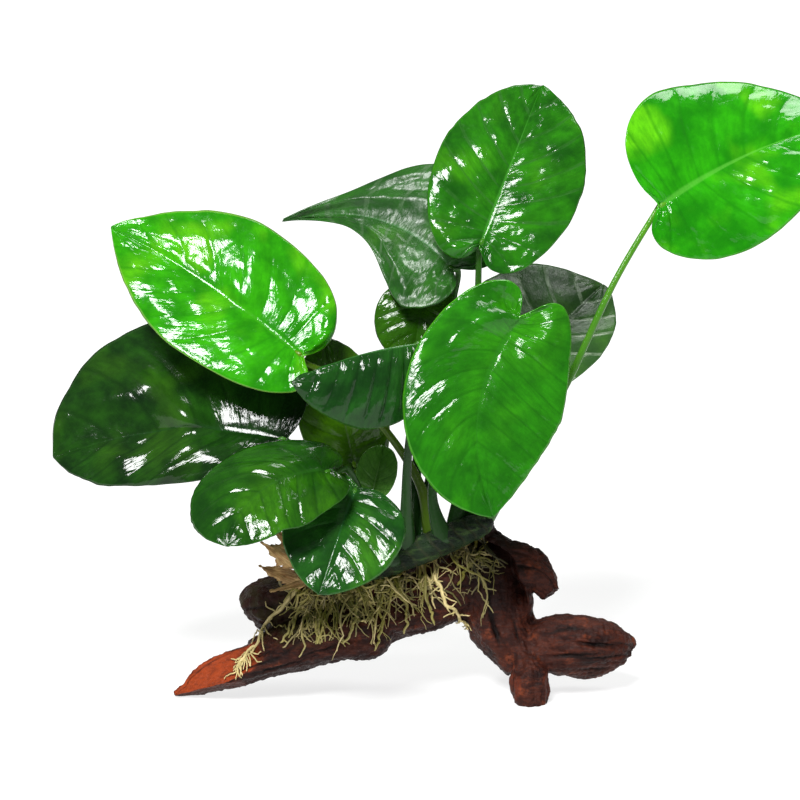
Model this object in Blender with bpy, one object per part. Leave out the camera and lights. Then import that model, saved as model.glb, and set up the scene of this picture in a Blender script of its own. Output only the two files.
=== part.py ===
"""Broad-leaved anubias whose rhizome has rooted across a branching piece of driftwood.

Thirteen leaves stand on leaf stalks that grow out of one rhizome. The rhizome lies on the
wood, and its roots run down the front of it. The wood is modelled limb by limb, split at
its main forks, and rests on the tip of its left prong and on two feet.

Every length below is in millimetres of a layout whose X runs to the right, Y away from the
front and Z up from the surface the wood stands on. MIDDLE moves the layout so that the
origin lies on that surface, at the middle of the whole piece.
"""

import bmesh
import bpy
import numpy as np
from mathutils import Vector
from mathutils.bvhtree import BVHTree

MM = 0.001
MIDDLE = np.array([24.5, 3.0, 0.0])

FIT_GAP = 0.35  # clear space between two pieces that grow from one another
BLADE_THICK = 1.0
BLADE_ROWS = 13
BLADE_COLUMNS = 3
WIDEST_AT = 0.45  # share of the margin, from the notch to the tip, at the widest place
VEIN_REACH = 2.2  # how fast the side veins move up the midrib
STALK_SIDES = 6
STALK_RINGS = 10
STALK_FOOT_RADIUS = 2.3
STALK_TOP_RADIUS = 1.2
STALK_END = 5.0  # straight run at the top of a stalk, square to the blade
STALK_TUCK = 1.5  # how far under the blade a stalk stops
ROOT_SIDES = 5
ROOT_RINGS = 11
ROOT_LIFT = 0.65  # clear space between a root and the wood behind it
ROOT_PROBE = 1.6  # how far round a root the wood is felt for, in radii of the root
LIMB_SIDES = 12
BURR = 0.09  # height of the waves on the wood, as a share of its radius
BURR_STEP = 1.7  # how far the waves of one limb are turned from those of the next
FRONT_OF_ALL = -150.0  # a Y in front of every piece

LEAF_GREEN = (0.10, 0.42, 0.03)
LEAF_BRIGHT = (0.16, 0.62, 0.03)
LEAF_DARK = (0.03, 0.17, 0.03)
LEAF_OLIVE = (0.12, 0.26, 0.02)
STALK_GREEN = (0.06, 0.22, 0.03)
RHIZOME_GREEN = (0.03, 0.07, 0.03)
WOOD_BROWN = (0.12, 0.035, 0.02)
ROOT_CREAM = (0.48, 0.42, 0.14)
SHEATH_BROWN = (0.36, 0.20, 0.07)

# A leaf runs from its base, where the stalk meets it, to its tip. halves gives the widths of
# its left and right half, seen from its upper side with the tip away, and face the way that
# side looks. arch and sweep bow the midrib up and to the right, fold and curl turn each half
# up at the midrib and on towards its margin, in degrees. For each half, notch says how far the
# basal lobe reaches back, or draws it in where it is negative, and widest is the place along
# the leaf where that half is widest. shoulder draws the margin in towards the tip, for both
# halves or for each, and wave is a count, a height and a phase. The stalk passes the points of
# via on its way up from the rhizome, slim makes it thinner than the rest, and tuck stops it
# further below the blade.
LEAVES = {
    "leaf_top": dict(
        base=(35, 5, 199), tip=(63, 52, 263), halves=(32, 34), face=(0.05, -0.8, 0.6),
        arch=3, notch=(0.28, 0.28), wave=(3, 0.8, 0.1), colour=LEAF_GREEN,
        via=((24, -3, 72), (28, 2, 106), (33, 4, 160)),
    ),
    "leaf_far_right": dict(
        base=(114, 25, 213), tip=(202, 62, 246), halves=(45, 38), face=(-0.1, -0.8, 0.5),
        arch=3, sweep=-4, fold=(5, 5), twist=-42, notch=(0.05, 0.24), widest=(0.31, 0.31),
        shoulder=(0.94, 0.5), wave=(3, 0.8, 0.3), colour=LEAF_BRIGHT,
        via=((35, -4, 76), (53, 2, 103), (73, 5, 138), (93, 13, 180)),
    ),
    "leaf_left_bright": dict(
        base=(-43, -4, 152), tip=(-128, 35, 202), halves=(33, 38), face=(0, -0.8, 0.6),
        arch=3, sweep=2, notch=(0.24, 0.12), widest=(0.40, 0.38), shoulder=(0.90, 0.38),
        wave=(3, 0.8, 0.2), colour=LEAF_BRIGHT,
        via=((15, -3, 70), (8, 0, 95), (-8, 0, 120), (-28, 2, 140)),
    ),
    "leaf_left_dark": dict(
        base=(-50, -5, 115), tip=(-153, 10, 103), halves=(26, 57), face=(-0.1, -0.8, 0.6),
        arch=3, sweep=7, notch=(-0.15, 0.12), widest=(0.52, 0.40), shoulder=(0.94, 0.55),
        wave=(3, 0.8, 0.0), colour=LEAF_DARK,
        via=((-15, -6, 58), (-20, -6, 88), (-33, -4, 103)),
    ),
    "leaf_low_left": dict(
        base=(-30, -35, 108), tip=(-72, -66, 83), halves=(25, 29), face=(0, -0.7, 0.7),
        arch=3, sweep=10, fold=(8, -14), curl=(-15, -10), notch=(0.25, 0.25), widest=(0.40, 0.50),
        shoulder=(0.98, 0.62), wave=(3, 0.6, 0.4), colour=LEAF_DARK,
        via=((-9, -12, 58), (-14, -13, 83), (-22, -19, 104)),
    ),
    "leaf_low_front": dict(
        base=(-19, -26, 98), tip=(-34, -58, 60), halves=(27, 25), face=(0, -0.8, 0.5),
        arch=3, notch=(0.05, 0.22), wave=(3, 0.8, 0.0), colour=LEAF_DARK,
        via=((-3, -13, 61), (-7, -14, 80), (-13, -18, 92)),
    ),
    "leaf_folded": dict(
        base=(9, -22, 161), tip=(-46, -37, 147), halves=(33, 35), face=(0, -0.3, 0.9),
        arch=3, fold=(-48, -46), curl=(-25, -12), notch=(-0.05, 0.20), shoulder=(1.0, 0.55),
        tuck=4.0, wave=(3, 0.4, 0.0), colour=LEAF_DARK,
        via=((3, -10, 62), (3, -14, 104), (7, -18, 140)),
    ),
    "leaf_middle_back": dict(
        base=(-20, 10, 99), tip=(-34, 22, 155), halves=(20, 20), face=(0, -0.8, 0.6),
        arch=3, wave=(3, 0.4, 0.0), colour=LEAF_OLIVE,
        via=((-21, -3, 56), (-22, 8, 78), (-21, 13, 91)),
    ),
    "leaf_front_large": dict(
        base=(50, -20, 170), tip=(39, -52, 92), halves=(36, 33), face=(0.1, -0.9, 0.4),
        arch=3, sweep=12, fold=(5, 5), notch=(0.40, 0.30), shoulder=(0.93, 0.5),
        wave=(3, 0.8, 0.3), colour=LEAF_GREEN,
        via=((19, -11, 70), (14, -10, 92), (19, -7, 118), (37, -6, 148)),
    ),
    "leaf_right_back": dict(
        base=(51, 22, 139), tip=(93, 72, 170), halves=(40, 24), face=(0.1, -0.7, 0.7),
        arch=3, notch=(0.40, 0.20), wave=(3, 0.6, 0.2), colour=LEAF_OLIVE,
        via=((30, -2, 73), (36, 12, 96), (46, 24, 120)),
    ),
    "leaf_back_twisted": dict(
        base=(23, 15, 187), tip=(-53, 52, 202), halves=(29, 45), face=(0, -0.8, 0.6),
        arch=3, sweep=12, widest=(0.0, 0.10), shoulder=((0.48, 0.12), (0.50, 0.30)),
        wave=(3, 1.2, 0.1), colour=LEAF_GREEN, via=((10, -2, 66), (17, 16, 119), (22, 23, 163)),
    ),
    "leaf_back_small": dict(
        base=(11, 20, 176), tip=(5, 10, 143), halves=(18, 20), face=(0, -0.8, 0.4),
        arch=3, wave=(3, 0.4, 0.0), colour=LEAF_DARK,
        via=((5, -3, 63), (8, 12, 110), (11, 26, 150)),
    ),
    "leaf_young": dict(
        base=(-12, -5, 91), tip=(-7, 5, 110), halves=(10, 10), face=(0, -0.8, 0.4),
        arch=1, fold=(20, 20), curl=(15, 15), wave=(3, 0.0, 0.0), colour=LEAF_OLIVE,
        via=((-9, -5, 59), (-12, -3, 75), (-13, -3, 84)), slim=0.7,
    ),
}

# The dry sheaths are short papery scales at the old end of the rhizome.
SHEATHS = {
    "dry_sheath_upper": dict(
        base=(-43, -11, 61), tip=(-60, -14, 71), halves=(5, 5), face=(0, -0.8, 0.5),
        arch=1, fold=(-25, -25), notch=(0, 0), shoulder=(0.7, 0.2), widest=(0.3, 0.3),
        wave=(2, 0.4, 0.0), colour=SHEATH_BROWN,
    ),
    "dry_sheath_lower": dict(
        base=(-44, -6, 52), tip=(-61, -12, 59), halves=(4, 4), face=(0, -0.8, 0.3),
        arch=1, fold=(-25, -25), notch=(0, 0), shoulder=(0.7, 0.2), widest=(0.3, 0.3),
        wave=(2, 0.4, 0.3), colour=SHEATH_BROWN,
    ),
}

# A limb is a row of stations: the middle, then half its depth and half its height.
RHIZOME = (
    ((-41, -6, 53), 3.0, 3.0),
    ((-38, -6, 54), 5.0, 5.0),
    ((-24, -8, 56), 6.0, 6.0),
    ((-9, -9, 60), 6.4, 6.4),
    ((13, -9, 68), 6.6, 6.6),
    ((26, -7, 73), 6.0, 6.0),
    ((36, -5, 77), 4.8, 4.8),
    ((40, -4, 79), 2.5, 2.5),
)
LIMBS = {
    "wood_heart": (
        ((-17, 2, 37), 13.0, 13.0),
        ((-12, 2, 38), 17.0, 17.5),
        ((-2, 2, 39), 17.0, 16.5),
        ((9, 2, 40), 16.0, 15.0),
        ((19, 3, 44.5), 15.0, 15.5),
        ((28, 4, 46.5), 13.5, 17.0),
        ((36, 4, 47), 11.0, 17.5),
        ((40, 4, 47), 7.0, 13.0),
    ),
    "wood_left_prong": (
        ((-98, -12, 0.8), 2.4, 1.6),
        ((-92, -12, 2.6), 5.4, 4.5),
        ((-86, -12, 8), 8.0, 7.5),
        ((-75, -11, 12), 11.0, 8.7),
        ((-61, -10, 17.5), 13.0, 9.5),
        ((-44, -9, 23.5), 15.0, 11.5),
        ((-26, -8, 28.5), 16.0, 12.0),
        ((-14, -6, 31), 15.0, 13.0),
        ((-6, -4, 34), 10.0, 9.0),
    ),
    "wood_left_stub": (
        ((-68, 8, 34), 5.0, 4.5),
        ((-66, 8, 35), 9.0, 8.5),
        ((-61, 8, 36), 12.5, 11.0),
        ((-50, 8, 38), 16.0, 13.5),
        ((-31, 8, 40), 17.0, 14.0),
        ((-16, 8, 41), 16.0, 14.0),
        ((-8, 8, 41), 11.0, 9.0),
    ),
    "wood_right_trunk": (
        ((39, 8, 70), 5.0, 4.0),
        ((41, 7, 65.5), 9.0, 8.0),
        ((44, 5, 58), 12.0, 13.0),
        ((43, 3, 50), 13.0, 15.0),
        ((43, 1, 40), 14.0, 15.0),
        ((45, -1, 30), 13.0, 14.5),
        ((51, -4, 21), 12.0, 12.5),
        ((56, -8, 14), 10.0, 10.0),
    ),
    "wood_curled_lip": (
        ((44, 4, 58), 9.0, 8.5),
        ((51, 2, 57.5), 10.0, 10.0),
        ((58, 0, 54.5), 9.0, 9.5),
        ((64, -3, 50), 7.0, 7.0),
        ((67, -5, 45), 4.0, 4.5),
    ),
    "wood_right_burl": (
        ((55, -5, 21), 9.0, 8.0),
        ((62, -5, 21.5), 12.0, 11.5),
        ((72, -4, 21), 14.0, 13.5),
        ((84, -3, 20.5), 14.0, 13.5),
        ((95, -2, 19.5), 11.0, 10.5),
        ((101, -1, 18.5), 6.5, 6.5),
        ((104, -1, 17.5), 3.0, 3.0),
    ),
    "wood_front_foot": (
        ((56, -12, 17), 7.0, 8.0),
        ((57, -17, 11), 8.0, 8.5),
        ((57, -20, 5), 7.0, 8.5),
        ((58, -21, -1.8), 5.5, 6.5),
    ),
    "wood_back_foot": (
        ((50, 8, 27), 9.0, 9.0),
        ((56, 20, 17), 8.0, 8.0),
        ((61, 30, 8), 7.0, 7.0),
        ((63, 33, -3.2), 5.5, 6.0),
    ),
}

# Each limb is trimmed clear of those named here, where they fork.
TRIMMED_BY = {
    "wood_left_prong": ("wood_heart",),
    "wood_left_stub": ("wood_heart", "wood_left_prong"),
    "wood_right_trunk": ("wood_heart",),
    "wood_curled_lip": ("wood_right_trunk",),
    "wood_right_burl": ("wood_right_trunk",),
    "wood_front_foot": ("wood_right_trunk", "wood_right_burl"),
    "wood_back_foot": ("wood_right_trunk", "wood_right_burl"),
}

# A root starts in the rhizome and passes these places, (X, Z), laid on the front of the wood.
ROOTS = {
    "root_left_long": (1.0, ((-34, 54), (-42, 50), (-52, 40), (-60, 30), (-66, 22), (-73, 15))),
    "root_left_branch": (0.8, ((-28, 55), (-38, 45), (-46, 36), (-52, 28))),
    "root_left_inner": (0.8, ((-21, 55), (-27, 46), (-33, 36), (-36, 28))),
    "root_middle_left": (0.8, ((-14, 57), (-18, 46), (-20, 36), (-25, 27))),
    "root_middle": (0.8, ((-6, 59), (-9, 46), (-8, 34), (-11, 24))),
    "root_middle_right": (0.8, ((1, 62), (-1, 50), (3, 40), (2, 30))),
    "root_right_inner": (0.8, ((8, 64), (9, 52), (13, 42), (15, 34))),
    "root_right_pale": (0.9, ((15, 67), (16, 54), (20, 44), (26, 36), (30, 28))),
    "root_right_long": (0.9, ((34, 75), (33, 66), (29, 57), (26, 51))),
}


def unit(vectors):
    return vectors / np.linalg.norm(vectors, axis=-1, keepdims=True)


def bezier(points, t):
    """The point at share t of a curve of three or four control points."""
    t = np.asarray(t, float)[..., None]
    p = [np.asarray(point, float) for point in points]
    if len(p) == 3:
        return (1 - t) ** 2 * p[0] + 2 * t * (1 - t) * p[1] + t**2 * p[2]
    return (
        (1 - t) ** 3 * p[0]
        + 3 * t * (1 - t) ** 2 * p[1]
        + 3 * t**2 * (1 - t) * p[2]
        + t**3 * p[3]
    )


def through(points, count):
    """count places along a smooth curve that passes every one of the points."""
    p = np.asarray(points, float)
    p = np.vstack([2 * p[0] - p[1], p, 2 * p[-1] - p[-2]])
    at = np.linspace(0, len(p) - 3, count)
    i = np.minimum(at.astype(int), len(p) - 4)
    t = (at - i)[:, None]
    a, b, c, d = p[i], p[i + 1], p[i + 2], p[i + 3]
    return 0.5 * (
        2 * b + (c - a) * t + (2 * a - 5 * b + 4 * c - d) * t**2 + (3 * b - a - 3 * c + d) * t**3
    )


def add_piece(name, points, faces, colour, roughness):
    """A mesh object from points in the layout's millimetres, with its own finish."""
    mesh = bpy.data.meshes.new(name)
    mesh.from_pydata(((points - MIDDLE) * MM).tolist(), [], faces)
    shell = bmesh.new()
    shell.from_mesh(mesh)
    bmesh.ops.recalc_face_normals(shell, faces=shell.faces)
    shell.to_mesh(mesh)
    shell.free()
    mesh.shade_smooth()
    finish = bpy.data.materials.new(name + "_finish")
    finish.use_nodes = True
    shader = finish.node_tree.nodes["Principled BSDF"]
    shader.inputs["Base Color"].default_value = (*colour, 1)
    shader.inputs["Roughness"].default_value = roughness
    shader.inputs["Metallic"].default_value = 0
    mesh.materials.append(finish)
    piece = bpy.data.objects.new(name, mesh)
    bpy.context.collection.objects.link(piece)
    return piece


def as_cutter(piece):
    """A helper that trims its neighbours and isn't a piece of the plant."""
    piece.hide_render = True
    piece.display_type = "WIRE"
    return piece


def trim(piece, cutter):
    cut = piece.modifiers.new("trimmed by " + cutter.name, "BOOLEAN")
    cut.operation = "DIFFERENCE"
    cut.solver = "EXACT"
    cut.object = cutter


def margin(share, notch, shoulder, widest):
    """Flat outline of one half, along and across: out of the notch, round the lobe, to the tip."""
    lean = max(-notch, 0)
    lobe = bezier([(0, 0), (-notch, 0.22), (lean - 0.04, 1), (widest, 1)], np.clip(share / WIDEST_AT, 0, 1))
    rest = bezier(
        [(widest, 1), (widest + 0.3, 1), shoulder, (1, 0)],
        np.clip((share - WIDEST_AT) / (1 - WIDEST_AT), 0, 1),
    )
    return np.where((share < WIDEST_AT)[..., None], lobe, rest)


def blade_axes(leaf):
    """Unit vectors along a leaf, up from its upper side, and to its right."""
    along = unit(np.subtract(leaf["tip"], leaf["base"]).astype(float))
    face = np.array(leaf["face"], float)
    up = unit(face - (face @ along) * along)
    return along, up, np.cross(along, up)


def blade_surface(leaf, share, reach, side):
    """Points of one half of a leaf: share along its margin, reach out from the midrib.

    A side vein is a bowed line from the midrib to its place on the margin. The flat leaf is
    then carried along the bowed midrib, and each half turns through fold at the midrib and on
    through curl at the margin, so a strip across it is an arc of a circle.
    """
    half = 0 if side < 0 else 1
    shoulder = np.broadcast_to(leaf.get("shoulder", (0.95, 0.5)), (2, 2))[half]
    notch, widest = leaf.get("notch", (0.22, 0.22))[half], leaf.get("widest", (0.4, 0.4))[half]
    edge = margin(share, notch, shoulder, widest)
    root = share**VEIN_REACH
    x = (1 - reach) ** 2 * root
    x = x + 2 * reach * (1 - reach) * (0.65 * root + 0.35 * edge[..., 0]) + reach**2 * edge[..., 0]
    y = (2 * reach * (1 - reach) * 0.6 + reach**2) * edge[..., 1]
    along, up, right = blade_axes(leaf)
    base, tip = np.array(leaf["base"], float), np.array(leaf["tip"], float)
    crown = (base + tip) / 2 + 2 * leaf["arch"] * up + 2 * leaf.get("sweep", 0) * right
    t = np.clip(x, 0, 1)[..., None]
    tangent = 2 * (1 - t) * (crown - base) + 2 * t * (tip - crown)
    spine = bezier([base, crown, tip], t[..., 0]) + (x[..., None] - t) * tangent
    tangent = unit(tangent)
    turn = np.radians(leaf.get("twist", 0)) * (t - 0.5)
    normal = up * np.cos(turn) + right * np.sin(turn)
    normal = unit(normal - (normal * tangent).sum(-1, keepdims=True) * tangent)
    width = leaf["halves"][half]
    fold = np.radians(leaf.get("fold", (8, 8))[half])
    curl = np.radians(leaf.get("curl", (-15, -15))[half])
    out = width * (np.sin(fold + curl * y) - np.sin(fold)) / curl
    rise = width * (np.cos(fold) - np.cos(fold + curl * y)) / curl
    count, height, phase = leaf["wave"]
    rise = rise + height * reach**2 * np.sin(2 * np.pi * (count * share + phase + 0.13 * side))
    return spine + side * out[..., None] * np.cross(tangent, normal) + rise[..., None] * normal


def add_blade(name, leaf):
    """A blade: rows from the notch to the tip, closed at both ends by a fan of triangles."""
    share, reach = np.meshgrid(
        np.linspace(0, 1, BLADE_ROWS + 1)[1:-1], np.linspace(0, 1, BLADE_COLUMNS + 1), indexing="ij"
    )
    left = blade_surface(leaf, share, reach, -1)[:, :0:-1]
    right = blade_surface(leaf, share, reach, 1)
    rows = np.concatenate([left, right], axis=1)
    count, wide = rows.shape[:2]
    points = np.vstack([rows.reshape(-1, 3), leaf["base"], leaf["tip"]])
    base, tip = count * wide, count * wide + 1
    faces = [
        (i * wide + j, i * wide + j + 1, (i + 1) * wide + j + 1, (i + 1) * wide + j)
        for i in range(count - 1)
        for j in range(wide - 1)
    ]
    last = (count - 1) * wide
    faces += [(base, j + 1, j) for j in range(wide - 1)]
    faces += [(tip, last + j, last + j + 1) for j in range(wide - 1)]
    piece = add_piece(name, points, faces, leaf["colour"], 0.2)
    sheet = piece.modifiers.new("thickness", "SOLIDIFY")
    sheet.thickness = BLADE_THICK * MM
    sheet.offset = 0
    return piece


def sweep(path, depths, heights, sides, burr=0.0, seed=0.0, grow=0.0):
    """Triangles round rings of an ellipse carried along a path, a flat fan at each end.

    Each ring stands square to the path, its depth near the layout's Y. burr adds a slow
    waviness round and along the limb, grow swells it all round for a cutter, and nothing
    reaches below the ground.
    """
    path = np.array(path, float)
    depths = np.asarray(depths) + grow
    heights = np.asarray(heights) + grow
    tangent = unit(np.gradient(path, axis=0))
    path[0] -= grow * tangent[0]
    path[-1] += grow * tangent[-1]
    high = unit(np.cross(tangent, (0, 1, 0)))
    deep = np.cross(high, tangent)
    angle = np.linspace(0, 2 * np.pi, sides, endpoint=False)[None, :]
    along = np.linspace(0, 1, len(path))[:, None]
    swell = 1 + burr * (
        0.6 * np.sin(3 * angle + 7 * along + seed) + 0.4 * np.sin(5 * angle - 11 * along + 2 * seed)
    )
    rings = (
        path[:, None]
        + (depths[:, None] * swell * np.cos(angle))[..., None] * deep[:, None]
        + (heights[:, None] * swell * np.sin(angle))[..., None] * high[:, None]
    )
    points = np.vstack([rings.reshape(-1, 3), path[0], path[-1]])
    points[:, 2] = np.maximum(points[:, 2], 0)
    last = (len(path) - 1) * sides
    start, end = len(points) - 2, len(points) - 1
    turn = [(j, (j + 1) % sides) for j in range(sides)]
    faces = []
    for ring in range(0, last, sides):
        faces += [(ring + a, ring + b, ring + sides + b) for a, b in turn]
        faces += [(ring + a, ring + sides + b, ring + sides + a) for a, b in turn]
    faces += [(start, b, a) for a, b in turn]
    faces += [(end, last + a, last + b) for a, b in turn]
    return points, faces


def limb(stations, grow=0.0, burr=0.0, seed=0.0, sides=LIMB_SIDES):
    """A swept limb through its stations, grown all round by a gap where it is a cutter."""
    middles, depths, heights = zip(*stations)
    return sweep(middles, depths, heights, sides, burr, seed, grow)


def add_wood(rhizome_cutter):
    """The driftwood, limb by limb, and the surface that the roots are laid on."""
    seeds = {name: BURR_STEP * i for i, name in enumerate(LIMBS)}
    used = sorted({other for others in TRIMMED_BY.values() for other in others})
    cutters = {}
    for name in used:
        points, faces = limb(LIMBS[name], FIT_GAP, BURR, seeds[name])
        cutters[name] = as_cutter(add_piece(name + "_clearance", points, faces, WOOD_BROWN, 0.6))
    skin_points, skin_faces = [], []
    for name, stations in LIMBS.items():
        points, faces = limb(stations, 0, BURR, seeds[name])
        piece = add_piece(name, points, faces, WOOD_BROWN, 0.6)
        for other in TRIMMED_BY.get(name, ()):
            trim(piece, cutters[other])
        trim(piece, rhizome_cutter)
        skin_faces += [tuple(len(skin_points) + i for i in face) for face in faces]
        skin_points += points.tolist()
    return BVHTree.FromPolygons(skin_points, skin_faces)


def front_of(skin, x, z, radius):
    """How far back a strand of this radius may lie at (x, z) before it meets the wood."""
    seen = []
    reach = ROOT_PROBE * radius
    for dx, dz in ((0, 0), (reach, 0), (-reach, 0), (0, reach), (0, -reach)):
        hit = skin.ray_cast(Vector((x + dx, FRONT_OF_ALL, z + dz)), Vector((0, 1, 0)))[0]
        if hit is not None:
            seen.append(hit.y)
    return min(seen) - radius - ROOT_LIFT if seen else None


def add_root(name, radius, places, skin, rhizome_cutter):
    """A root from inside the rhizome down the front of the wood."""
    depth = rhizome_depth(places[0][0])
    path = [(places[0][0], depth, places[0][1])]
    for x, z in through(places, ROOT_RINGS)[1:]:
        found = front_of(skin, x, z, radius)
        depth = depth if found is None else found
        path.append((x, depth, z))
    taper = np.linspace(1.15, 0.6, ROOT_RINGS) * radius
    points, faces = sweep(path, taper, taper, ROOT_SIDES)
    trim(add_piece(name, points, faces, ROOT_CREAM, 0.5), rhizome_cutter)


def rhizome_depth(x):
    return float(np.interp(x, [s[0][0] for s in RHIZOME], [s[0][1] for s in RHIZOME]))


def add_stalk(name, leaf, rhizome_cutter):
    """A leaf stalk from inside the rhizome to just under the blade's base."""
    up = blade_axes(leaf)[1]
    top = np.array(leaf["base"], float) - leaf.get("tuck", STALK_TUCK) * up
    path = through([*leaf["via"], top - STALK_END * up, top], STALK_RINGS)
    share = np.linspace(0, 1, STALK_RINGS)
    radius = STALK_TOP_RADIUS + (STALK_FOOT_RADIUS - STALK_TOP_RADIUS) * (1 - share) ** 2
    radius = leaf.get("slim", 1.0) * radius
    points, faces = sweep(path, radius, radius, STALK_SIDES)
    trim(add_piece(name, points, faces, STALK_GREEN, 0.3), rhizome_cutter)


for old in list(bpy.data.objects):
    bpy.data.objects.remove(old)

points, faces = limb(RHIZOME, 0)
add_piece("rhizome", points, faces, RHIZOME_GREEN, 0.4)
points, faces = limb(RHIZOME, FIT_GAP)
clearance = as_cutter(add_piece("rhizome_clearance", points, faces, RHIZOME_GREEN, 0.4))
wood_skin = add_wood(clearance)
for leaf_name, shape in LEAVES.items():
    add_blade(leaf_name + "_blade", shape)
    add_stalk(leaf_name + "_stalk", shape, clearance)
for sheath_name, shape in SHEATHS.items():
    add_blade(sheath_name, shape)
for root_name, (root_radius, root_places) in ROOTS.items():
    add_root(root_name, root_radius, root_places, wood_skin, clearance)
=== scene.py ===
import bpy
import numpy as np
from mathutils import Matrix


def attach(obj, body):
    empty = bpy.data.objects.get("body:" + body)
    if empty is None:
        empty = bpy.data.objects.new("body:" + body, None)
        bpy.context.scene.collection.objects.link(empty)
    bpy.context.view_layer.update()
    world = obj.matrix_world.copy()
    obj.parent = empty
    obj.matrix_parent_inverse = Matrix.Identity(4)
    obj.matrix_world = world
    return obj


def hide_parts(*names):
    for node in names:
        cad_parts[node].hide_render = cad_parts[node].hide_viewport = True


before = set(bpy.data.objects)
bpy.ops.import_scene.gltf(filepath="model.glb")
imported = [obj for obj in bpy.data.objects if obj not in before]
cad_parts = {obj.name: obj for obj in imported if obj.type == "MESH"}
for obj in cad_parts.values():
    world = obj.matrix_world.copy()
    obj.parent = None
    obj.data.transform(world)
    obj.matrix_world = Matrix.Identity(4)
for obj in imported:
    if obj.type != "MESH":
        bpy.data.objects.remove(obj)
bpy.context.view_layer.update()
scene = bpy.context.scene

# every length below is in millimetres of the plant's layout, and toScene carries it to metres
layoutMiddle = np.array([24.5, 3.0, 0.0])


def toScene(points):
    return (np.asarray(points, float) - layoutMiddle) * 0.001


# ---- curves and fields shared by the pieces


def unit(vectors):
    return vectors / np.maximum(np.linalg.norm(vectors, axis=-1, keepdims=True), 1e-9)


def smooth(low, high, value):  # 0 below low, 1 above high, 3t2 - 2t3 between
    t = np.clip((value - low) / (high - low), 0, 1)
    return t * t * (3 - 2 * t)


# three or four control points weighted by the powers of t and 1 - t
def bezier(points, t):
    t = np.asarray(t, float)[..., None]
    p = [np.asarray(point, float) for point in points]
    if len(p) == 3:
        return (1 - t) ** 2 * p[0] + 2 * t * (1 - t) * p[1] + t**2 * p[2]
    return (1 - t) ** 3 * p[0] + 3 * t * (1 - t) ** 2 * p[1] + 3 * t**2 * (1 - t) * p[2] + t**3 * p[3]


# a cubic through every one of the points, whose slope at each is half the step between its neighbours
def through(points, count):
    p = np.asarray(points, float)
    p = np.vstack([2 * p[0] - p[1], p, 2 * p[-1] - p[-2]])
    at = np.linspace(0, len(p) - 3, count)
    i = np.minimum(at.astype(int), len(p) - 4)
    t = (at - i)[:, None]
    a, b, c, d = p[i], p[i + 1], p[i + 2], p[i + 3]
    return 0.5 * (2 * b + (c - a) * t + (2 * a - 5 * b + 4 * c - d) * t**2 + (3 * b - a - 3 * c + d) * t**3)


# five sine waves in seeded directions for each octave, each octave half as long and rough times as high
def waves(points, size, octaves=3, rough=0.5, seed=0):
    rng = np.random.default_rng(seed)
    total = np.zeros(points.shape[:-1])
    for octave in range(octaves):
        direction = unit(rng.normal(size=(5, points.shape[-1])))
        phase = rng.uniform(0, 2 * np.pi, 5)
        spread = points @ direction.T * (2 * np.pi * 2**octave / size)
        total += rough**octave * np.sin(spread + phase).sum(-1) / 5
    return total


# ---- meshes from arrays


# vertices, then every face array in turn, then one UV map and point values read through the loops
def addMesh(name, points, faces, uv=None, values=None, material=None):
    mesh = bpy.data.meshes.new(name)
    mesh.vertices.add(len(points))
    mesh.vertices.foreach_set("co", toScene(points).ravel())
    corners = np.concatenate([np.asarray(f).ravel() for f in faces]).astype(np.int32)
    sizes = np.concatenate([np.full(len(f), np.asarray(f).shape[1]) for f in faces]).astype(np.int32)
    mesh.loops.add(len(corners))
    mesh.loops.foreach_set("vertex_index", corners)
    mesh.polygons.add(len(sizes))
    mesh.polygons.foreach_set("loop_start", (np.cumsum(sizes) - sizes).astype(np.int32))
    mesh.update(calc_edges=True)
    mesh.shade_smooth()
    if uv is not None:
        layer = mesh.uv_layers.new(name="along")
        layer.data.foreach_set("uv", np.asarray(uv, float)[corners].ravel())
    for key, numbers in (values or {}).items():
        layer = mesh.attributes.new(key, "FLOAT", "POINT")
        layer.data.foreach_set("value", np.asarray(numbers, float))
    if material:
        mesh.materials.append(material)
    piece = bpy.data.objects.new(name, mesh)
    scene.collection.objects.link(piece)
    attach(piece, "root")
    return piece


# quads between neighbouring rings of a closed tube, and a fan of triangles round each end point
def tubeFaces(rings, sides, first=0):
    ring = first + np.arange(rings - 1)[:, None] * sides
    j = np.arange(sides)[None, :]
    k = (j + 1) % sides
    quads = np.stack([ring + j, ring + k, ring + sides + k, ring + sides + j], -1).reshape(-1, 4)
    last = first + (rings - 1) * sides
    start, end = first + rings * sides, first + rings * sides + 1
    j, k = j[0], k[0]
    fans = np.concatenate([
        np.stack([np.full(sides, start), first + k, first + j], -1),
        np.stack([np.full(sides, end), last + j, last + k], -1),
    ])
    return quads, fans


# a ring at each place of a path, square to it: radius times the profile of angle and share along
def sweep(path, radii, sides, profile=None):
    path = np.asarray(path, float)
    tangent = unit(np.gradient(path, axis=0))
    high = unit(np.cross(tangent, (0, 1, 0)))
    deep = np.cross(high, tangent)
    angle = np.linspace(0, 2 * np.pi, sides, endpoint=False)[None, :]
    along = np.linspace(0, 1, len(path))[:, None]
    swell = np.ones((len(path), sides)) if profile is None else profile(angle, along)
    radii = np.asarray(radii, float).reshape(len(path), -1)
    deepRadius, highRadius = radii[:, :1], radii[:, -1:]
    rings = (
        path[:, None]
        + (deepRadius * swell * np.cos(angle))[..., None] * deep[:, None]
        + (highRadius * swell * np.sin(angle))[..., None] * high[:, None]
    )
    points = np.vstack([rings.reshape(-1, 3), path[0], path[-1]])
    turn = np.broadcast_to(angle / (2 * np.pi), swell.shape).ravel()
    uv = np.stack([np.broadcast_to(along, swell.shape).ravel(), turn], -1)
    uv = np.vstack([uv, (0, 0.5), (1, 0.5)])
    return points, tubeFaces(len(path), sides), uv


# ---- shader groups


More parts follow.
